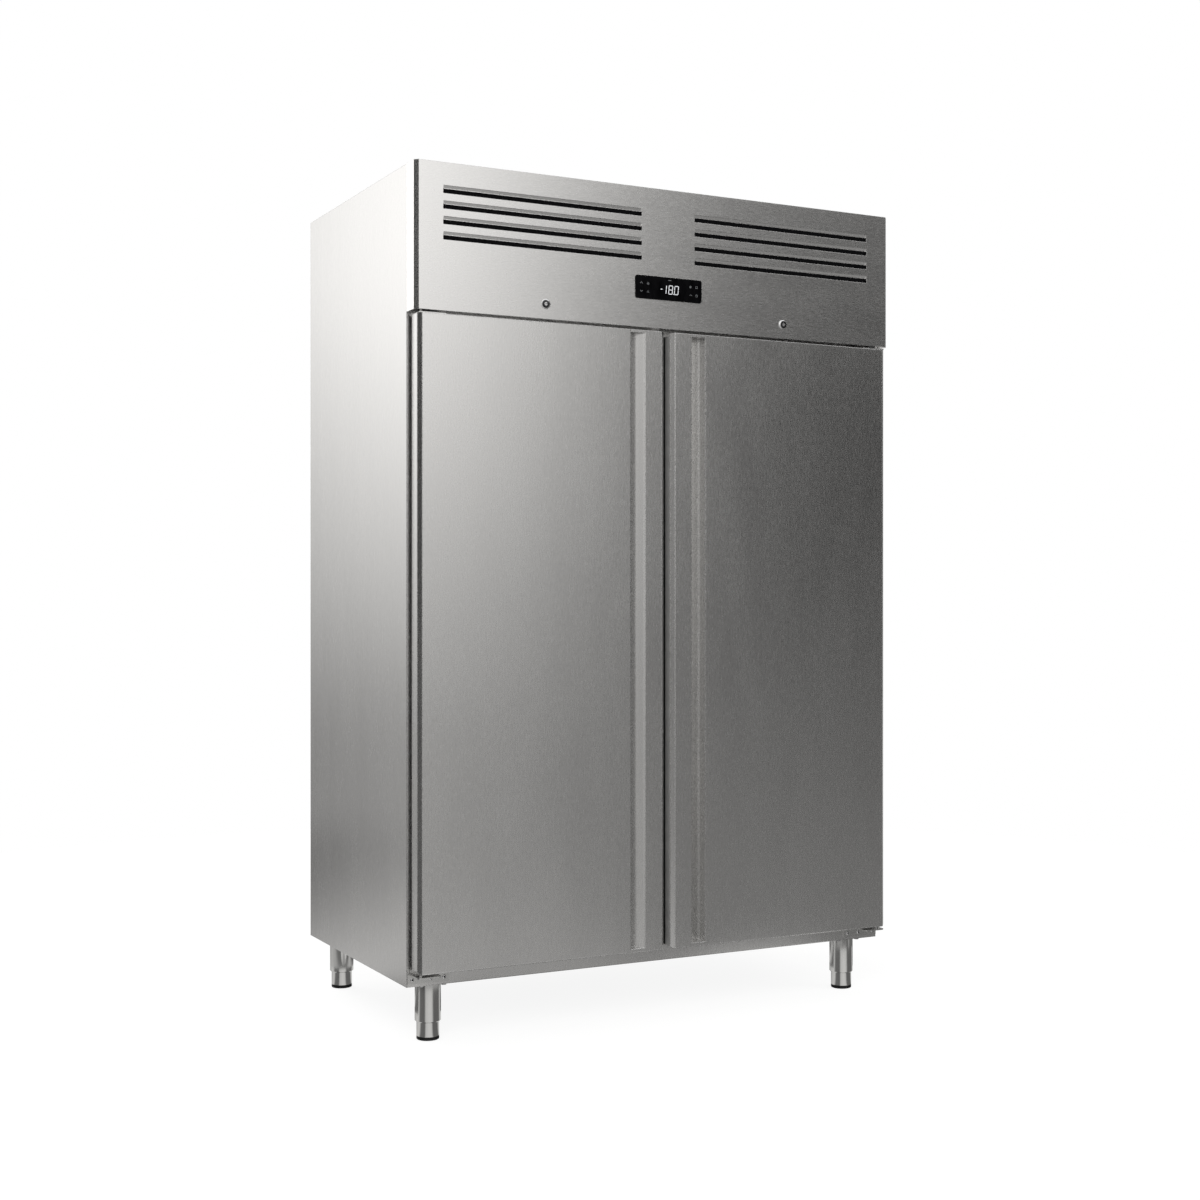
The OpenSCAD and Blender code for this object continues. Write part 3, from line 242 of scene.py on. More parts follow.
def foam(name):
    m = Mat(name, 0.92)
    bubbles = m.cells(420.0)
    skin = m.noise(45.0, detail=4.0)
    height = m.weighted((bubbles.outputs["Distance"], 0.6), (skin, 0.6))
    near_edge = m.surface(height, strength=0.4, distance=0.001, edge=0.001)
    colour = m.mix(skin, (0.80, 0.70, 0.47), (0.93, 0.87, 0.68))
    m.colour(m.mix(near_edge, colour, (0.95, 0.90, 0.74)))
    return m.m


def polished(name, tint, rough):
    """Polished or plated metal with faint wiping marks."""
    m = Mat(name, rough, metal=1.0)
    wipes = m.noise((140.0, 140.0, 500.0), detail=3.0)
    near_edge = m.surface(wipes, strength=0.03, distance=0.0002, edge=0.0004)
    colour = m.mix(wipes, shade(tint, 0.93), shade(tint, 1.04))
    m.colour(m.mix(near_edge, colour, shade(tint, 1.1)))
    m.roughness(wipes, rough - 0.03, rough + 0.06)
    return m.m


def lock_metal(name, centre_x, centre_z, dark_r, light_r):
    """Polished metal with a near-black ring of painted shade round the key slot, between two radii,
    for the recess round the plug.
    """
    m = Mat(name, 0.3, metal=1.0)
    place = m.axes()
    side = m.math("SUBTRACT", m.math("ABSOLUTE", place[0]), centre_x)
    up = m.math("SUBTRACT", place[2], centre_z)
    square = m.math("ADD", m.math("MULTIPLY", side, side), m.math("MULTIPLY", up, up))
    reach = m.math("POWER", square, 0.5)
    inner = m.span(reach, light_r - RING_SOFT, light_r + RING_SOFT)
    outer = m.span(reach, dark_r + RING_SOFT, dark_r - RING_SOFT)
    wipes = m.noise((500.0, 140.0, 500.0), detail=3.0)
    near_edge = m.surface(wipes, strength=0.03, distance=0.0002, edge=0.0003)
    bright = m.mix(wipes, (0.74, 0.74, 0.74), (0.86, 0.86, 0.87))
    # Painted shade: the recess between the plug and the housing is drawn as a near-black ring
    ring_painted_shade = m.mix(m.math("MULTIPLY", inner, outer), bright, (0.035, 0.035, 0.037))
    m.colour(m.mix(near_edge, ring_painted_shade, (0.8, 0.8, 0.81)))
    m.roughness(wipes, 0.24, 0.34)
    return m.m


def enamel(name):
    m = Mat(name, 0.32, Coat_Weight=0.3, Coat_Roughness=0.15)
    peel = m.noise(260.0, detail=1.0)
    dust = m.noise(22.0, detail=4.0)
    near_edge = m.surface(peel, strength=0.1, distance=0.0003, edge=0.0015)
    colour = m.mix(dust, (0.022, 0.022, 0.023), (0.055, 0.054, 0.052))
    m.colour(m.mix(m.math("MULTIPLY", near_edge, m.noise(120.0)), colour, (0.22, 0.21, 0.2)))
    m.roughness(dust, 0.24, 0.42)
    return m.m


def copper(name):
    m = Mat(name, 0.28, metal=1.0)
    tarnish = m.noise(35.0, detail=4.0)
    draw = m.noise(700.0, detail=2.0)
    m.surface(draw, strength=0.05, distance=0.0002, edge=0.0005)
    m.colour(m.mix(tarnish, (0.84, 0.47, 0.30), (0.55, 0.28, 0.17)))
    m.roughness(tarnish, 0.2, 0.42)
    return m.m


def fins(name):
    m = Mat(name, 0.38, metal=1.0)
    rolled = m.noise((80.0, 80.0, 900.0), detail=2.0)
    dust = m.noise(28.0, detail=3.0)
    near_edge = m.surface(rolled, strength=0.1, distance=0.0002, edge=0.0003)
    colour = m.mix(dust, (0.80, 0.81, 0.82), (0.62, 0.62, 0.61))
    m.colour(m.mix(near_edge, colour, (0.88, 0.89, 0.9)))
    m.roughness(dust, 0.3, 0.48)
    return m.m


def black_glass(name):
    m = Mat(name, 0.07, Specular_IOR_Level=0.1)
    smear = m.noise((60.0, 60.0, 25.0), detail=3.0)
    m.surface(smear, strength=0.02, distance=0.0002, edge=0.0006)
    m.colour(m.mix(smear, (0.0015, 0.0015, 0.0018), (0.004, 0.004, 0.0045)))
    m.roughness(smear, 0.04, 0.13)
    return m.m


def lit(name, tint, strength):
    """Backlit mark of the display, with a slightly uneven glow."""
    m = Mat(name, 0.4, Specular_IOR_Level=0.1)
    glow = m.noise(420.0, detail=1.0)
    m.colour(m.mix(glow, shade(tint, 0.02), shade(tint, 0.04)))
    m.link(m.mix(glow, shade(tint, 0.88), tint), m.p.inputs["Emission Color"])
    m.p.inputs["Emission Strength"].default_value = strength
    return m.m


STEEL = (0.73, 0.726, 0.72)
MATS = {
    "stainless_side": brushed("steel_sides", STEEL, 0.25, ALONG_Z, bump=0.035),
    "stainless_front": brushed("steel_doors", STEEL, 0.26, ALONG_Z, bump=0.055, edge=0.003),
    "stainless_inside": brushed("steel_inside", (0.76, 0.76, 0.755), 0.34, ALONG_Z,
                                mottle=0.03, edge=0.002),
    "galvanised": galvanised("zinc_sheet"),
    "foam": foam("rigid_foam"),
    "polished_steel": polished("polished_steel", (0.72, 0.72, 0.73), 0.12),
    "stainless_part": brushed("steel_parts", (0.66, 0.66, 0.65), 0.27, ALONG_X,
                              mottle=0.04, edge=0.0008),
    "black_glass": black_glass("display_window"),
    "black_plastic": moulded("black_moulding", (0.035, 0.035, 0.037), 0.45),
    "grey_plastic": moulded("grey_moulding", (0.50, 0.51, 0.53), 0.5, wear=1.25),
    "black_paint": enamel("black_enamel"),
    "rubber": moulded("black_rubber", (0.010, 0.010, 0.0105), 0.6, grain=900.0, wear=2.0, bump=0.25,
                      Specular_IOR_Level=0.25),
    "gasket_rubber": moulded("gasket_elastomer", (0.085, 0.085, 0.09), 0.55, grain=1100.0, wear=1.3),
    "copper": copper("copper_tube"),
    "aluminium_fins": fins("fin_stock"),
    "shelf_wire": polished("plated_wire", (0.70, 0.71, 0.72), 0.2),
}
FASCIA_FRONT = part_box("fascia")[0].y
# Depth behind the fascia's front where the pressed louvre blades begin, and with them their painted
# highlight
BLADE_DEPTH = 0.0006
FASCIA = brushed("steel_fascia", STEEL, 0.26, ALONG_X, edge=0.0016, behind=FASCIA_FRONT + BLADE_DEPTH)
# Near-black matte for painted shade: the sheets behind the louvres and the discs in the screw sockets
SHADE_BLACK = moulded("painted_shade_black", (0.0035, 0.0035, 0.004), 0.9, grain=1800.0, wear=1.5, bump=0.3,
               Specular_IOR_Level=0.05)
# Painted shade of the gap between the doors: near-black at its back, grey on the doors' sides before
# it
GAP_SHADE_BLACK = moulded("gap_shade_black", (0.006, 0.006, 0.0065), 0.5, wear=1.5, Specular_IOR_Level=0.15)
GAP_SHADE_GREY = moulded("gap_shade_grey", (0.30, 0.298, 0.292), 0.4, wear=1.15)
LEG = brushed("steel_legs", (0.70, 0.70, 0.69), 0.1, ALONG_Z, mottle=0.02, fine=0.02, bump=0.03)

LOCK_R, LOCK_DARK_R, LOCK_LIGHT_R = 0.0125, 0.0098, 0.0042
lock_low, lock_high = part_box("lock_housings")
LOCK = lock_metal("lock_metal", lock_high.x - LOCK_R, (lock_low.z + lock_high.z) / 2,
                  LOCK_DARK_R, LOCK_LIGHT_R)
OWN_LOOK = {"fascia": FASCIA, "leg_tubes": LEG, "lock_housings": LOCK}

for node, o in NODES.items():
    chosen = OWN_LOOK.get(node, MATS[SLOT_OF[node]])
    if node.endswith("_foot"):
        chosen = LEG
    if node.endswith("_lock_cylinder"):
        chosen = LOCK
    for s in o.material_slots:
        s.link = "OBJECT"
        s.material = chosen


# Mesh helpers, all in metres

# Edges sharper than this stay sharp, and rods steeper than this cosine take another side direction
SHARP_ANGLE, STEEP = math.radians(35), 0.95


def mesh_of(name, bm, mat):
    """Turns a bmesh into a mesh with one material."""
    mesh = bpy.data.meshes.new(name)
    bm.to_mesh(mesh)
    bm.free()
    mesh.materials.append(mat)
    return mesh


def put(name, data):
    """Adds an object with this mesh, lamp or camera to the scene."""
    o = bpy.data.objects.new(name, data)
    bpy.context.scene.collection.objects.link(o)
    return o


def piece(name, bm, slot, body, mat=None, smooth=True, replaces=()):
    """Turns a bmesh into a piece that rides on a body."""
    bmesh.ops.recalc_face_normals(bm, faces=bm.faces)
    mesh = mesh_of(name, bm, mat or MATS[slot])
    if smooth:
        mesh.shade_smooth()
        mesh.set_sharp_from_angle(angle=SHARP_ANGLE)
    o = put(name, mesh)
    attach(o, body)
    if replaces:
        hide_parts(*replaces)


def rings(bm, loops, closed_loop=False):
    """Skins a list of equal loops of points, and caps both ends unless they meet."""
    made = [[bm.verts.new(p) for p in loop] for loop in loops]
    n = len(made[0])
    pairs = list(zip(made, made[1:]))
    if closed_loop:
        pairs.append((made[-1], made[0]))
    for a, b in pairs:
        for i in range(n):
            bm.faces.new((a[i], a[(i + 1) % n], b[(i + 1) % n], b[i]))
    if not closed_loop:
        bm.faces.new(made[0][::-1])
        bm.faces.new(made[-1])


def lathe(bm, centre, axis, profile, sides=48, shape=None):
    """Turned form: profile is (radius, distance along the axis), shape(angle, i) scales the radius."""
    turn = Vector((0, 0, 1)).rotation_difference(Vector(axis)).to_matrix()
    loops = []
    for i, (r, h) in enumerate(profile):
        loop = []
        for k in range(sides):
            a = 2 * math.pi * k / sides
            f = shape(a, i) if shape else 1.0
            loop.append(Vector(centre) + turn @ Vector((r * f * math.cos(a), r * f * math.sin(a), h)))
        loops.append(loop)
    rings(bm, loops)


def tube(bm, points, r, sides=8, closed=False):
    """Round rod along a path of points."""
    pts = [Vector(p) for p in points]
    n = len(pts)
    loops = []
    up = Vector((0, 0, 1))
    for i, p in enumerate(pts):
        a = pts[i - 1] if (i or closed) else p
        b = pts[(i + 1) % n] if (i < n - 1 or closed) else p
        d = (b - a).normalized()
        ref = up if abs(d.dot(up)) < STEEP else Vector((0, 1, 0))
        u = d.cross(ref).normalized()
        v = u.cross(d)
        loops.append([p + r * (math.cos(t) * u + math.sin(t) * v)
                      for t in (2 * math.pi * k / sides for k in range(sides))])
    rings(bm, loops, closed_loop=closed)


def arc(centre, u, v, r, a0, a1, n):
    """Points on an arc from a0 to a1 degrees, from u towards v."""
    c, u, v = Vector(centre), Vector(u), Vector(v)
    return [c + r * (math.cos(t) * u + math.sin(t) * v)
            for t in (math.radians(a0 + (a1 - a0) * k / n) for k in range(n + 1))]


# Display marks, placed by x and by z from the middle of the display window

glass_low, glass_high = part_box("display_glass")
GLASS_Z = (glass_low.z + glass_high.z) / 2
DIGIT_W, DIGIT_H, STROKE, SLANT, MARK_T = 0.0126, 0.0232, 0.0018, 0.1, 0.00012
DIGIT_Z, DIGIT_GAP = GLASS_Z - 0.0135, 0.00022
DIGITS = (("1", -0.0206), ("8", -0.0022), ("0", 0.0148))
SEGMENTS = {"0": "abcdef", "1": "bc", "8": "abcdefg"}
MINUS = ((-0.0242, -0.0026), (-0.0192, -0.0026), (-0.019, -0.0008), (-0.024, -0.0008))
POINT_X, POINT_DZ, POINT_R = 0.0132, 0.0122, 0.0012


def plate(bm, outline):
    """Thin flat mark standing on the display window; outline in x and z."""
    front = [bm.verts.new((x, glass_low.y - MARK_T, z)) for x, z in outline]
    back = [bm.verts.new((x, glass_low.y + MARK_T, z)) for x, z in outline]
    bm.faces.new(front)
    bm.faces.new(back[::-1])
    for i in range(len(front)):
        j = (i + 1) % len(front)
        bm.faces.new((front[i], back[i], back[j], front[j]))


def ring_path(x, z, r, a0=0, a1=360, n=14):
    """Points on an arc from a0 to a1 degrees, in x and z."""
    turns = [math.radians(a0 + (a1 - a0) * k / n) for k in range(n + 1)]
    return [(x + r * math.cos(t), z + r * math.sin(t)) for t in turns]


def segment(kind, x0):
    """Six-sided bar of a seven-segment digit, slanted."""
    w, h, s, gap = DIGIT_W, DIGIT_H, STROKE, DIGIT_GAP
    mid = h / 2
    flat = {"a": h - s / 2, "g": mid, "d": s / 2}
    if kind in flat:
        z = flat[kind]
        pts = [(s / 2 + gap, z), (s + gap, z + s / 2), (w - s - gap, z + s / 2),
               (w - s / 2 - gap, z), (w - s - gap, z - s / 2), (s + gap, z - s / 2)]
    else:
        x = s / 2 if kind in "ef" else w - s / 2
        low, high = (mid, h - s / 2) if kind in "bf" else (s / 2, mid)
        pts = [(x, low + gap), (x - s / 2, low + s / 2 + gap), (x - s / 2, high - s / 2 - gap),
               (x, high - gap), (x + s / 2, high - s / 2 - gap), (x + s / 2, low + s / 2 + gap)]
    return [(x0 + x + SLANT * z, DIGIT_Z + z) for x, z in pts]


WHITE = lit("display_white", (0.95, 0.97, 1.0), 1.0)
DIM = lit("display_dim", (0.62, 0.64, 0.66), 0.3)
bm = bmesh.new()
for symbol, x0 in DIGITS:
    for kind in SEGMENTS[symbol]:
        plate(bm, segment(kind, x0))
plate(bm, [(x, GLASS_Z + dz) for x, dz in MINUS])
plate(bm, ring_path(POINT_X, GLASS_Z - POINT_DZ, POINT_R, n=6)[:-1])
piece("display_digits", bm, "black_glass", "cabinet", WHITE, smooth=False)


# How far a bar of a stroke runs past its step, in half widths
OVERRUN = 0.6
# Half an icon's size, widths of strokes, and the rows and columns of icons
ICON, HAIRLINE, THIN, THICK, BOLD = 0.0034, 0.0007, 0.0008, 0.0009, 0.0013
ROW_UP, ROW_LOW, ROW_BAR = GLASS_Z + 0.0105, GLASS_Z - 0.0109, GLASS_Z + 0.0222
ARROW_X, RING_X, STAR_X, DOME_X, POWER_X = -0.0806, -0.0611, 0.0641, 0.065, 0.0822
BAR_X = (-0.0016, 0.0064)
# Left end, right end and height over the lower row of the two lines under the ring
LINES_BELOW = ((-0.0642, -0.058, -0.0016), (-0.0628, -0.0594, 0.001))


def stroke(bm, path, width):
    """Path drawn as flat bars, each a little longer than its step so that they meet in a bend."""
    for (x0, z0), (x1, z1) in zip(path, path[1:]):
        d = Vector((x1 - x0, z1 - z0)).normalized() * (width / 2)
        n = Vector((-d.y, d.x))
        a, b = Vector((x0, z0)) - d * OVERRUN, Vector((x1, z1)) + d * OVERRUN
        plate(bm, [tuple(a - n), tuple(b - n), tuple(b + n), tuple(a + n)])


icons = []
for z, up in ((ROW_UP, 1), (ROW_LOW, -1)):
    tip = up * ICON / 2
    icons.append(([(ARROW_X - ICON, z - tip), (ARROW_X, z + tip), (ARROW_X + ICON, z - tip)], THICK))
icons.append((ring_path(RING_X, ROW_UP, 0.0021), HAIRLINE))
icons.append((ring_path(RING_X, ROW_UP, 0.0036, a0=200, a1=340, n=8), HAIRLINE))
for x0, x1, dz in LINES_BELOW:
    icons.append(([(x0, ROW_LOW + dz), (x1, ROW_LOW + dz)], THICK))
for k in range(3):
    a = math.radians(60 * k + 30)
    dx, dz = ICON * math.cos(a), ICON * math.sin(a)
    icons.append(([(STAR_X - dx, ROW_UP - dz), (STAR_X + dx, ROW_UP + dz)], THIN))
icons.append((ring_path(POWER_X, ROW_UP, ICON, a0=45, a1=405, n=4), THIN))
icons.append((ring_path(DOME_X, ROW_LOW - 0.002, 0.0032, a0=20, a1=160, n=8), THICK))
icons.append((ring_path(POWER_X, ROW_LOW, 0.003, a0=120, a1=420, n=12), THIN))
icons.append(([(POWER_X, ROW_LOW + 0.0012), (POWER_X, ROW_LOW + 0.0038)], THIN))
icons.append(([(BAR_X[0], ROW_BAR), (BAR_X[1], ROW_BAR)], BOLD))

bm = bmesh.new()
for path, width in icons:
    stroke(bm, path, width)
piece("display_icons", bm, "black_glass", "cabinet", DIM, smooth=False)


# Foot pads of turned rubber with a groove

for side in ("front_left", "front_right", "rear_left", "rear_right"):
    low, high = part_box(side + "_pad")
    r, h = (high.x - low.x) / 2, high.z - low.z
    bm = bmesh.new()
    lathe(bm, ((low.x + high.x) / 2, (low.y + high.y) / 2, low.z), (0, 0, 1), [
        (r * 0.55, 0.0008), (r * 0.6, 0.0), (r - 0.0022, 0.0), (r - 0.0008, 0.0006), (r, 0.002),
        (r, h * 0.5), (r - 0.0009, h * 0.56), (r - 0.0009, h * 0.66), (r, h * 0.72), (r, h - 0.0008),
        (r - 0.0006, h), (r * 0.6, h)], sides=72)
    piece(side + "_rubber_pad", bm, "rubber", side + "_leveller", replaces=[side + "_pad"])


# Screws, with dome heads on the hinges and hexagon bolts in the leg plates

SIDE_X, Y_SEAL, Y_BACK, PLATE_T = 0.694, -0.34375, 0.39725, 0.003
Z_BOTTOM, Z_ARM, PLATE_LOW = 0.143, 0.1745, 0.008
Z_FASCIA, SHEET, Z_DECK, Z_TOP = 1.773, 0.001, 1.8045, 2.130
HEAD_R, HEAD_H = 0.005, 0.0025
# Height of each bracket's screws, its edge from the side of the body, and each screw from that edge
LOWER_Z = (Z_BOTTOM + PLATE_LOW + Z_ARM - PLATE_T) / 2
LOWER_EDGE, LOWER_SCREWS = 0.0015, (0.012, 0.0595, 0.095)
UPPER_Z = (Z_FASCIA + SHEET + PLATE_T + Z_DECK) / 2
UPPER_EDGE, UPPER_SCREWS = 0.002, (0.024, 0.056)
REAR_IN, REAR_SCREWS = 0.010, (1.8445, (Z_DECK + Z_TOP) / 2, 2.090)
# Legs and the reach of their bolts from each leg's axis
LEG_X, LEG_Y, BOLT_REACH = 0.617, (-0.28875, 0.35625), 0.030
# Radius of the round rings of a bolt's head, for corners at 1, and profiles of washer and head
ROUND_SHARE = 0.92
WASHER = [(0.0048, 0), (0.0082, 0), (0.0082, 0.0008), (0.0076, 0.001), (0.005, 0.001)]
BOLT_HEAD = [(0.0065, 0.001), (0.007, 0.001), (0.007, 0.0039), (0.0061, 0.0045), (0.002, 0.0045)]


def hexagon(a):
    """Radius of a hexagon at an angle, for corners at 1."""
    b = (a + math.pi / 6) % (math.pi / 3) - math.pi / 6
    return math.cos(math.pi / 6) / math.cos(b)


def socket_shape(a, i):
    """The rings of a dome head from the socket's rim inwards are hexagons."""
    return hexagon(a) if i >= 6 else 1.0


def bolt_shape(a, i):
    """The two middle rings of a bolt's head are hexagons."""
    return hexagon(a) if i in (1, 2) else ROUND_SHARE


def dome_screw(bm, sockets, at, axis):
    """Dome head with a hexagon socket, and a near-black disc at the bottom of the socket as its
    painted shade.
    """
    r, h = HEAD_R, HEAD_H
    low, high = h * 0.38, h * 0.5
    lathe(sockets, at, axis, [(r * 0.1, low), (r * 0.44, low), (r * 0.44, high), (r * 0.1, high)],
          sides=6)
    lathe(bm, at, axis, [
        (r * 0.6, -0.0004), (r, -0.0001), (r, h * 0.3), (r * 0.94, h * 0.62), (r * 0.78, h * 0.88),
        (r * 0.6, h), (r * 0.52, h), (r * 0.5, h * 0.35), (r * 0.2, h * 0.3)],
        sides=24, shape=socket_shape)


bm, socket_shade_discs = bmesh.new(), bmesh.new()
for s in (-1, 1):
    for d in LOWER_SCREWS:
        x = s * (SIDE_X - LOWER_EDGE - d)
        dome_screw(bm, socket_shade_discs, (x, Y_SEAL - PLATE_T, LOWER_Z), (0, -1, 0))
    for d in UPPER_SCREWS:
        x = s * (SIDE_X - UPPER_EDGE - d)
        dome_screw(bm, socket_shade_discs, (x, Y_SEAL - PLATE_T, UPPER_Z), (0, -1, 0))
    for z in REAR_SCREWS:
        dome_screw(bm, socket_shade_discs, (s * (SIDE_X - REAR_IN), Y_BACK, z), (0, 1, 0))
    for y in LEG_Y:
        for dx in (-BOLT_REACH, BOLT_REACH):
            for dy in (-BOLT_REACH, BOLT_REACH):
                at = (s * LEG_X + dx, y + dy, Z_BOTTOM - PLATE_T)
                lathe(bm, at, (0, 0, -1), WASHER, sides=32)
                lathe(bm, at, (0, 0, -1), BOLT_HEAD, sides=24, shape=bolt_shape)
piece("screw_heads", bm, "polished_steel", "cabinet", replaces=["screws"])
# Painted shade: near-black discs deep in the screws' sockets
piece("socket_painted_shade", socket_shade_discs, "black_plastic", "cabinet", SHADE_BLACK, smooth=False)


# Shelves of round wire, in two bays

SHELF_W, SHELF_D, SHELF_T = 0.530, 0.650, 0.005
SHELF_Y, SHELF_Z, SHELF_PITCH, BAY_X = -0.33575, 0.328, 0.300, 0.3325
SHELF_ROWS, SHELF_WIRES, CROSS_RODS = 4, 20, 3


def shelf(bm, x, y, z):
    """Rim of bent rod, cross rods and the wires welded on top of them."""
    rim, rod, wire, r = 0.0025, 0.0012, 0.0013, 0.014
    x0, x1 = x - SHELF_W / 2 + rim, x + SHELF_W / 2 - rim
    y0, y1 = y + rim, y + SHELF_D - rim
    zc = z + SHELF_T / 2
    path = []
    corners = ((x1 - r, y1 - r, 0), (x0 + r, y1 - r, 90), (x0 + r, y0 + r, 180), (x1 - r, y0 + r, 270))
    for cx, cy, a in corners:
        path += arc((cx, cy, zc), (1, 0, 0), (0, 1, 0), r, a, a + 90, 4)
    tube(bm, path, rim, closed=True)
    for k in range(1, SHELF_WIRES + 1):
        wx = x0 + (x1 - x0) * k / (SHELF_WIRES + 1)
        tube(bm, [(wx, y0, z + SHELF_T - wire), (wx, y1, z + SHELF_T - wire)], wire, sides=6)
    for k in range(1, CROSS_RODS + 1):
        wy = y + SHELF_D * k / (CROSS_RODS + 1)
        tube(bm, [(x0, wy, z + rod), (x1, wy, z + rod)], rod, sides=6)


bm = bmesh.new()
for i in range(SHELF_ROWS):
    for s in (-1, 1):
        shelf(bm, s * BAY_X, SHELF_Y, SHELF_Z + i * SHELF_PITCH)
piece("rod_shelves", bm, "shelf_wire", "cabinet", replaces=["wire_shelves"])


# Fans with curved blades

HUB_R, HUB_DEPTH, BLADES = 0.026, 0.020, 5
HUB = [(0.0046, 0.0), (0.0165, 0.0), (0.022, 0.0012), (0.0252, 0.0045), (HUB_R, 0.008),
       (HUB_R, HUB_DEPTH), (0.0235, HUB_DEPTH), (0.0235, 0.013), (0.0046, 0.013)]
# Steps along and across a blade, its root's depth in the hub and half its thickness
BLADE_ROWS, CHORD_STEPS, ROOT_IN, BLADE_HALF_T = 8, 6, 0.0015, 0.0007
# Pitch in degrees at the root and its loss to the tip, chord at the root and its gain to the tip
PITCH, PITCH_LOSS, CHORD, CHORD_GAIN = 34, 12, 0.030, 0.022
# Where the chord narrows again and by how much, sweep in radians, camber and share of the full rise
TIP_FROM, TIP_LOSS, SWEEP, CAMBER, RISE_SHARE = 0.75, 0.014, 0.32, 0.0022, 0.62
# Radius below which the chord's angle grows no more
ANGLE_R = 0.045


def blade_points(x, y, z, tip, turn):
    """Front and back points of one blade, row by row from its root to its tip."""
    front, back = [], []
    for i in range(BLADE_ROWS + 1):
        u = i / BLADE_ROWS
        r = HUB_R - ROOT_IN + (tip - HUB_R + ROOT_IN) * u
        pitch = math.radians(PITCH - PITCH_LOSS * u)
        chord = CHORD + CHORD_GAIN * u - TIP_LOSS * max(0.0, u - TIP_FROM) / (1 - TIP_FROM)
        for j in range(CHORD_STEPS + 1):
            v = j / CHORD_STEPS - 0.5
            a = turn + SWEEP * u * u + chord * math.cos(pitch) * v / max(r, ANGLE_R)
            camber = CAMBER * (1 - (2 * v) ** 2)
            h = HUB_DEPTH / 2 - chord * math.sin(pitch) * v * RISE_SHARE - camber
            out = Vector((math.cos(a), 0, math.sin(a))) * r
            front.append(Vector((x, y + h - BLADE_HALF_T, z)) + out)
            back.append(Vector((x, y + h + BLADE_HALF_T, z)) + out)
    return front, back


def fan(name, node, body, x, y, z, tip):
    """Hub with a rounded nose and five swept, twisted blades, turning about Y."""
    bm = bmesh.new()
    lathe(bm, (x, y, z), (0, 1, 0), HUB, sides=48)
    row = CHORD_STEPS + 1
    last = BLADE_ROWS * row
    edge = list(range(CHORD_STEPS)) + [i * row + CHORD_STEPS for i in range(BLADE_ROWS)]
    edge += [last + CHORD_STEPS - j for j in range(CHORD_STEPS)]
    edge += [(BLADE_ROWS - i) * row for i in range(BLADE_ROWS)]
    for b in range(BLADES):
        points = blade_points(x, y, z, tip, 2 * math.pi * b / BLADES)
        front, back = [[bm.verts.new(p) for p in side] for side in points]
        for i in range(BLADE_ROWS):
            for j in range(CHORD_STEPS):
                near, far = i * row + j, (i + 1) * row + j
                bm.faces.new([front[p] for p in (near, far, far + 1, near + 1)])
                bm.faces.new([back[p] for p in (near, near + 1, far + 1, far)])
        for p, q in zip(edge, edge[1:] + edge[:1]):
            bm.faces.new((front[p], front[q], back[q], back[p]))
    piece(name, bm, "black_plastic", body, replaces=[node])


# Distance of a fan behind its mounting face, and where the fans are and how far they reach
FAN_IN = 0.014
EVAP_FAN_X, EVAP_FAN_Y, EVAP_FAN_Z, EVAP_TIP = 0.215, 0.07325 + FAN_IN, 1.6295, 0.080
SHROUD_Y, SHROUD_T = -0.20875, 0.0015
COND_FAN_X, COND_FAN_Y, COND_FAN_Z, COND_TIP = -0.300, SHROUD_Y + SHROUD_T + FAN_IN, 1.9215, 0.095
for side, s in (("left", -1), ("right", 1)):
    fan(side + "_evaporator_blades", side + "_evaporator_fan", side + "_evaporator_rotor",
        s * EVAP_FAN_X, EVAP_FAN_Y, EVAP_FAN_Z, EVAP_TIP)
fan("condenser_blades", "condenser_fan", "condenser_rotor",
    COND_FAN_X, COND_FAN_Y, COND_FAN_Z, COND_TIP)


# Ribbed near-black sheets on the back of the louvres, painted shade seen through the slits

def ribbed_mat(bm, x0, x1, y, z0, z1):
    """Mat with upright ribs on both faces and its corners cut off."""
    rib, blade_highlight, t, corner = 0.009, 0.0011, 0.0034, 0.006
    n = 2 * round((x1 - x0) / rib)
    loops = []
    for k in range(n + 1):
        x = x0 + (x1 - x0) * k / n
        d = blade_highlight if k % 2 else 0.0
        c = max(0.0, corner - min(x - x0, x1 - x))
        corners = ((d, z0 + c), (t - d, z0 + c), (t - d, z1 - c), (d, z1 - c))
        loops.append([(x, y + dy, z) for dy, z in corners])
    rings(bm, loops)


# Ends of the right group of louvres and of both in z, their blades' depth, and the mats' overlap
LOUVRE_X, LOUVRE_Z, BLADE_BACK = (0.078, 0.6215), (1.9438, 2.075), 0.0046
MAT_MARGIN, MAT_GAP = 0.012, 0.0001
bm = bmesh.new()
for x0, x1 in ((-LOUVRE_X[1], -LOUVRE_X[0]), LOUVRE_X):
    ribbed_mat(bm, x0 - MAT_MARGIN, x1 + MAT_MARGIN, FASCIA_FRONT + BLADE_BACK + MAT_GAP,
               LOUVRE_Z[0] - MAT_MARGIN, LOUVRE_Z[1] + MAT_MARGIN)
# Painted shade: these sheets make the louvre slits black
piece("louvre_shade_sheets", bm, "black_plastic", "cabinet", SHADE_BLACK, smooth=False)


# Strips on the doors' edges beside the gap, painted shade of the gap: a near-black strip at the back
# and a grey strip before it

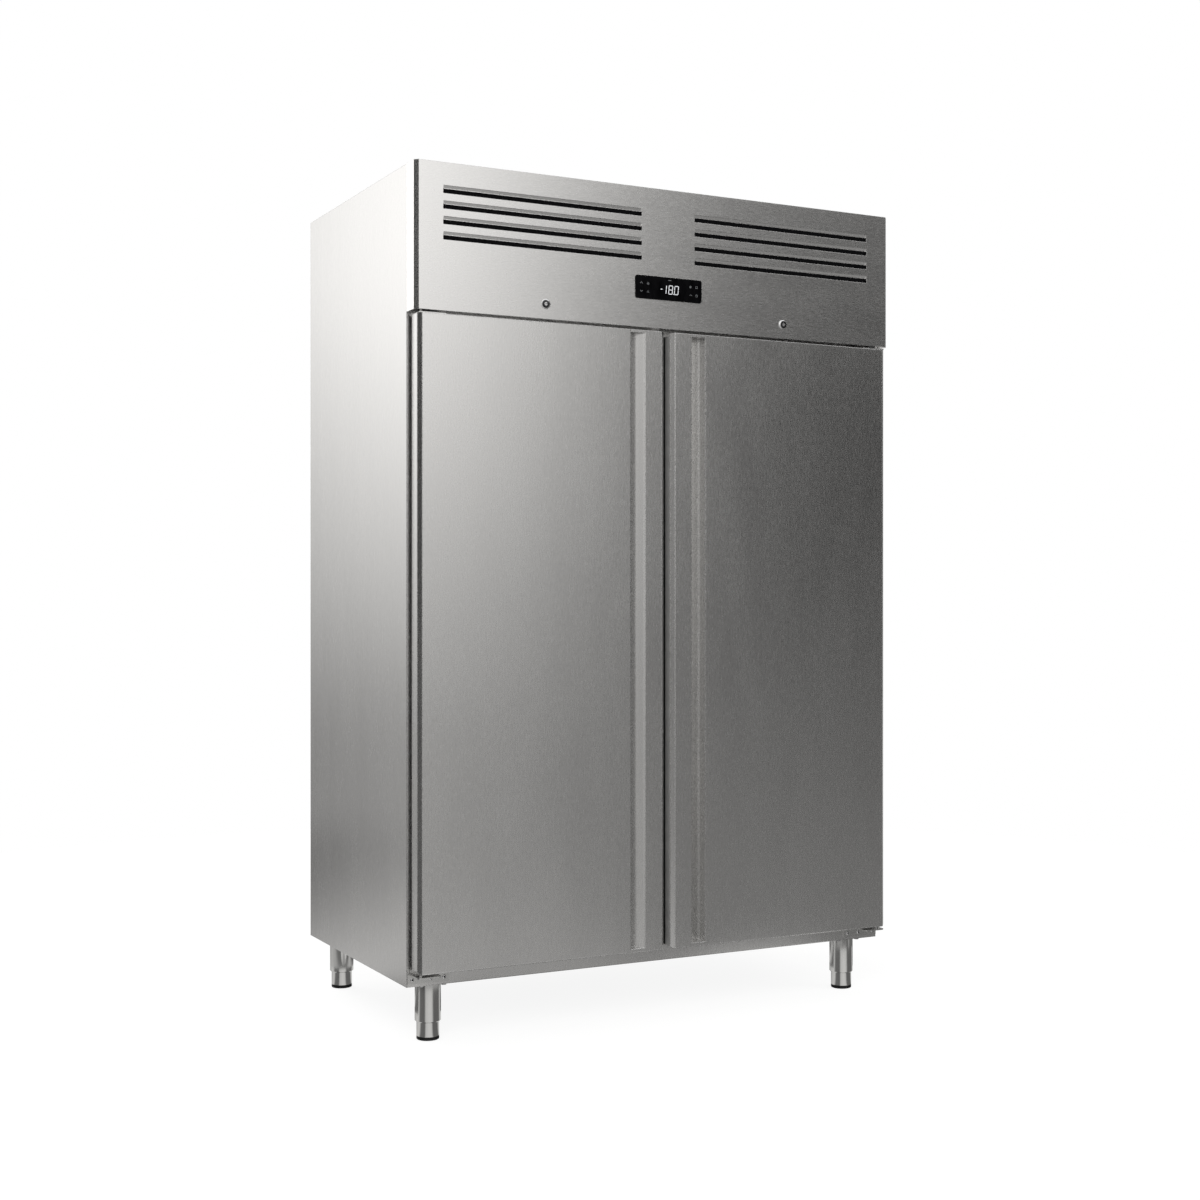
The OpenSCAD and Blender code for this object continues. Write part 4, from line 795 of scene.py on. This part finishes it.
# Both ends in z, thickness, size of the outer chamfers and depth in the door's edge
STRIP_Z, STRIP_T, SOFT, SUNK = (0.188, 1.7575), 0.0008, 0.0004, 0.0003
STRIPS = (("deep_gap_shade", (-0.3665, -0.3566), "black_plastic", GAP_SHADE_BLACK),
          ("side_gap_shade", (-0.3885, -0.3671), "grey_plastic", GAP_SHADE_GREY))
for side, s in (("left", -1), ("right", 1)):
    door_low, door_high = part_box(side + "_handle_profile")
    edge_x = door_high.x if s < 0 else door_low.x
    inner, soft, outer = edge_x + s * SUNK, edge_x - s * STRIP_T + s * SOFT, edge_x - s * STRIP_T
    for word, (y0, y1), slot, mat in STRIPS:
        outline = [(inner, y0), (soft, y0), (outer, y0 + SOFT),
                   (outer, y1 - SOFT), (soft, y1), (inner, y1)]
        bm = bmesh.new()
        rings(bm, [[(x, y, z) for x, y in outline] for z in STRIP_Z])
        piece(side + "_door_" + word, bm, slot, side + "_door", mat, smooth=False)


# Details of the cooling unit

# Foot of the compressor's shell, its seam's height over it, and the sizes of the coils' bends
COMPRESSOR, SEAM_Z = Vector((-0.090, 0.05625, 1.8255)), 0.098
SEAM = [(0.0815, 0.0), (0.0838, 0.0006), (0.0842, 0.0022),
        (0.0842, 0.0048), (0.0838, 0.0064), (0.0815, 0.007)]
BEND_PITCH, BEND_R, BEND_TUBE_R, BEND_LEAD = 0.042, 0.0095, 0.0042, 0.004
bm = bmesh.new()
lathe(bm, COMPRESSOR + Vector((0, 0, SEAM_Z)), (0, 0, 1), SEAM, sides=72)
piece("compressor_seam", bm, "black_paint", "cabinet")


def coil_bends(name, slot, x, ys, z0, n):
    """Return bends of a finned coil at its left end."""
    bm = bmesh.new()
    for y in ys:
        for k in range(n):
            z = z0 + k * BEND_PITCH
            bend = arc((x, y, z + BEND_R), (0, 0, -1), (-1, 0, 0), BEND_R, 0, 180, 10)
            start, end = (x + BEND_LEAD, y, z), (x + BEND_LEAD, y, z + 2 * BEND_R)
            tube(bm, [start] + bend + [end], BEND_TUBE_R, sides=10)
    piece(name, bm, slot, "cabinet")


coil_bends("evaporator_bends", "copper", x=-0.370, ys=(0.2195, 0.2645), z0=1.5665, n=4)
coil_bends("condenser_bends", "black_paint", x=-0.450, ys=(-0.274, -0.244), z0=1.832, n=5)


# Studio with a floor, grey cards, lamps and a world

def light_path_mask(tree):
    """1 for camera, glossy and transmission rays, 0 for the others."""
    path = tree.nodes.new("ShaderNodeLightPath")
    value = path.outputs["Is Camera Ray"]
    for other in ("Is Glossy Ray", "Is Transmission Ray"):
        n = tree.nodes.new("ShaderNodeMath")
        n.operation = "MAXIMUM"
        tree.links.new(value, n.inputs[0])
        tree.links.new(path.outputs[other], n.inputs[1])
        value = n.outputs[0]
    return value


# Strength of the world's light, of the floor's glow, and the glow's share in what is seen of the floor
AMBIENT, FLOOR_GLOW, GLOW_SHARE = 0.62, 1.12, 0.78
FLOOR_R, FLOOR_Z, FLOOR_SIDES = 3.6, -0.0006, 96

world = bpy.data.worlds.new("studio_world")
bpy.context.scene.world = world
world_tree = empty_tree(world)
ambient = world_tree.nodes.new("ShaderNodeBackground")
white = world_tree.nodes.new("ShaderNodeBackground")
ambient.inputs["Color"].default_value = (1.0, 0.995, 0.985, 1.0)
ambient.inputs["Strength"].default_value = AMBIENT
white.inputs["Strength"].default_value = 1.0
white.inputs["Color"].default_value = (1.0, 1.0, 1.0, 1.0)
blend = world_tree.nodes.new("ShaderNodeMixShader")
world_tree.links.new(light_path_mask(world_tree), blend.inputs[0])
world_tree.links.new(ambient.outputs[0], blend.inputs[1])
world_tree.links.new(white.outputs[0], blend.inputs[2])
world_tree.links.new(blend.outputs[0], world_tree.nodes.new("ShaderNodeOutputWorld").inputs[0])

floor_mat = bpy.data.materials.new("pale_floor")
floor_tree = empty_tree(floor_mat)
matte = floor_tree.nodes.new("ShaderNodeBsdfDiffuse")
glow = floor_tree.nodes.new("ShaderNodeEmission")
matte.inputs["Color"].default_value = (0.86, 0.86, 0.855, 1.0)
glow.inputs["Strength"].default_value = FLOOR_GLOW
seen = floor_tree.nodes.new("ShaderNodeMixShader")
part = floor_tree.nodes.new("ShaderNodeMixShader")
part.inputs[0].default_value = GLOW_SHARE
floor_tree.links.new(matte.outputs[0], part.inputs[1])
floor_tree.links.new(glow.outputs[0], part.inputs[2])
floor_tree.links.new(light_path_mask(floor_tree), seen.inputs[0])
floor_tree.links.new(matte.outputs[0], seen.inputs[1])
floor_tree.links.new(part.outputs[0], seen.inputs[2])
floor_tree.links.new(seen.outputs[0], floor_tree.nodes.new("ShaderNodeOutputMaterial").inputs[0])

bm = bmesh.new()
hub = bm.verts.new((0, 0, FLOOR_Z))
turns = [2 * math.pi * k / FLOOR_SIDES for k in range(FLOOR_SIDES)]
rim = [bm.verts.new((FLOOR_R * math.cos(t), FLOOR_R * math.sin(t), FLOOR_Z)) for t in turns]
for a, b in zip(rim, rim[1:] + rim[:1]):
    bm.faces.new((hub, a, b))
put("floor", mesh_of("floor", bm, floor_mat))


def between(keys, x):
    """Straight line between (x, y) pairs."""
    if x <= keys[0][0]:
        return keys[0][1]
    for (x0, y0), (x1, y1) in zip(keys, keys[1:]):
        if x <= x1:
            return y0 + (y1 - y0) * (x - x0) / (x1 - x0)
    return keys[-1][1]


# Brightness of the grey cards round the cabinet, by bearing in degrees from the front towards +X:
# low and high on the wall round it, on the floor near it and near the legs, and a rise per degree
CARD_LOW = [(-180, 0.11), (-165, 0.12), (-156, 0.30), (-125, 0.60), (-108, 0.45), (-97, 0.15),
            (-75, 0.10), (-59, 0.06), (-54, 0.42), (-10, 0.46), (12, 0.36), (26, 0.18), (36, 0.15),
            (49, 0.12), (52, 0.42), (56, 0.42), (59, 0.17), (84, 0.18), (98, 0.45), (125, 0.60),
            (160, 0.28), (180, 0.11)]
CARD_HIGH = [(-180, 0.30), (-165, 0.32), (-157, 1.62), (-146, 1.5), (-130, 0.7), (-108, 0.45),
             (-94, 0.03), (-59, 0.01), (-54, 0.95), (-48, 0.8), (-40, 0.66), (-22, 0.8), (-8, 1.3),
             (20.3, 1.4), (26.8, 0.03), (49, 0.01), (52, 0.65), (56, 0.65), (59, 0.4), (64, 0.4),
             (70, 0.08), (84, 0.08), (98, 0.2), (125, 0.24), (160, 0.30), (180, 0.30)]
CARD_FLOOR = [(-180, 0.05), (-165, 0.06), (-154, 0.12), (-140, 0.40), (-125, 0.55), (-105, 0.45),
              (-95, 0.20), (-75, 0.13), (-59, 0.06), (-54, 0.40), (-10, 0.42), (12, 0.32), (24, 0.19),
              (36, 0.20), (49, 0.16), (52, 0.40), (56, 0.40), (59, 0.19), (84, 0.18), (98, 0.45),
              (125, 0.55), (160, 0.22), (180, 0.05)]
CARD_LEG = [(-180, 0.30), (-160, 0.55), (-110, 0.70), (-100, 0.50), (-88, 0.17), (-50, 0.15),
            (-38, 0.62), (-10, 0.72), (12, 0.66), (28, 0.15), (82, 0.15), (96, 0.60), (130, 0.80),
            (155, 0.55), (180, 0.30)]
CARD_LIFT = [(22, 0.0), (30, 0.02), (60, 0.02), (70, 0.0)]
CARD_R, CARD_TOP, CARD_MID, CARD_STEPS = 12.0, 11.0, 1.0, 36
# Rings of the cards on the floor, and the radius up to which CARD_FLOOR gives their brightness
FLOOR_RINGS, NEAR_FLOOR = (0.02, 0.3, 3.5, 4.5, 7.0), 4
# Elevation where the upper level begins and over how many degrees, where it is brighter or darker
RISE, FALL, LIFT_FROM = (-6, 20), (-9, 13), 13
REAR_BEARING, MOST_REAR, MOST = -130, 1.0, 1.1
# The cards' depth below the floor plane, and the cards that each leg's foot mirrors
CARD_DROP, LEG_CARD_DROP, LEG_CARD_IN, LEG_CARD_STEPS = 0.0003, 0.0002, 0.02, 5
LEG_FRONT_BEARING, LEG_CARD_REAR, LEG_CARD_AHEAD = 110, 0.3, (0.6, 0.3)
COLUMNS = 180
BEARINGS = [-180 + 360 * c / COLUMNS for c in range(COLUMNS + 1)]


def card_light(bearing, z, r):
    """Brightness of a card at a bearing: on the floor by ring, on the wall round it by height."""
    low, high = between(CARD_LOW, bearing), between(CARD_HIGH, bearing)
    if r < CARD_R:
        return between(CARD_FLOOR, bearing) if r < NEAR_FLOOR else low
    elevation = math.degrees(math.atan2(z - CARD_MID, CARD_R))
    start, width = RISE if high > low else FALL
    share = min(MOST_REAR if bearing < REAR_BEARING else MOST, (elevation - start) / width)
    lift = between(CARD_LIFT, bearing) * max(0.0, elevation - LIFT_FROM)
    return low + (high - low) * max(0.0, share) + lift


def card_row(bm, x, y, z, spots):
    """Row of points round (x, y), with a radius and a brightness for each bearing."""
    row = []
    for bearing, (r, light) in zip(BEARINGS, spots):
        a = math.radians(bearing)
        v = bm.verts.new((x + r * math.sin(a), y - r * math.cos(a), z))
        v[tone] = light
        row.append(v)
    return row


def join_rows(bm, rows):
    """Skins the space between rows of points."""
    for a, b in zip(rows, rows[1:]):
        for c in range(COLUMNS):
            bm.faces.new((a[c], a[c + 1], b[c + 1], b[c]))


def leg_reach(bearing, ahead, k):
    """Radius of the k-th row of a leg's card."""
    far = ahead if abs(bearing) < LEG_FRONT_BEARING else LEG_CARD_REAR
    return LEG_CARD_IN + (far - LEG_CARD_IN) * k / LEG_CARD_STEPS


bm = bmesh.new()
tone = bm.verts.layers.float.new("tone")
levels = [(r, 0.0) for r in FLOOR_RINGS]
levels += [(CARD_R, CARD_TOP * k / CARD_STEPS) for k in range(CARD_STEPS + 1)]
join_rows(bm, [card_row(bm, 0.0, 0.0, z - (CARD_DROP if z == 0 else 0.0),
                        [(r, card_light(bearing, z, r)) for bearing in BEARINGS])
               for r, z in levels])
for lx in (-LEG_X, LEG_X):
    for ly, ahead in zip(LEG_Y, LEG_CARD_AHEAD):
        join_rows(bm, [card_row(bm, lx, ly, -LEG_CARD_DROP,
                                [(leg_reach(bearing, ahead, k), between(CARD_LEG, bearing))
                                 for bearing in BEARINGS])
                       for k in range(LEG_CARD_STEPS + 1)])

card_mat = bpy.data.materials.new("grey_cards")
card_tree = empty_tree(card_mat)
attr = card_tree.nodes.new("ShaderNodeAttribute")
emit = card_tree.nodes.new("ShaderNodeEmission")
attr.attribute_name = "tone"
card_tree.links.new(attr.outputs["Fac"], emit.inputs["Strength"])
emit.inputs["Color"].default_value = (1.0, 0.99, 0.975, 1.0)
card_tree.links.new(emit.outputs[0], card_tree.nodes.new("ShaderNodeOutputMaterial").inputs[0])
card_mat.cycles.emission_sampling = "NONE"
cards = put("studio_cards", mesh_of("studio_cards", bm, card_mat))
for flag in ("camera", "diffuse", "transmission", "volume_scatter", "shadow"):
    setattr(cards, "visible_" + flag, False)

LAMP_SIZE, LAMP_TARGET = 3.0, Vector((0, 0, 1.0))


def lamp(name, at, watts):
    """Square lamp aimed at the middle of the cabinet, unseen in the metal."""
    data = bpy.data.lights.new(name, "AREA")
    data.size = LAMP_SIZE
    data.energy = watts
    o = put(name, data)
    o.location = at
    o.rotation_euler = (LAMP_TARGET - Vector(at)).to_track_quat("-Z", "Y").to_euler()
    o.visible_glossy = False


lamp("key_lamp", (-3.2, -4.6, 3.8), 130)
lamp("fill_lamp", (4.2, -3.4, 2.6), 60)
lamp("back_lamp", (-1.8, 4.6, 3.6), 80)

# Level camera fitted to the photograph: place, turn in degrees about Z, lens and sensor in mm
EYE, TURN, LENS, SENSOR = (-2.1996, -4.2588, 1.0781), -27.42, 51.88, 36.0
camera = put("camera", bpy.data.cameras.new("camera"))
camera.location = EYE
camera.rotation_euler = (math.radians(90), 0, math.radians(TURN))
camera.data.lens = LENS
camera.data.sensor_width = SENSOR
bpy.context.scene.camera = camera
bpy.context.scene.view_settings.view_transform = "Standard"
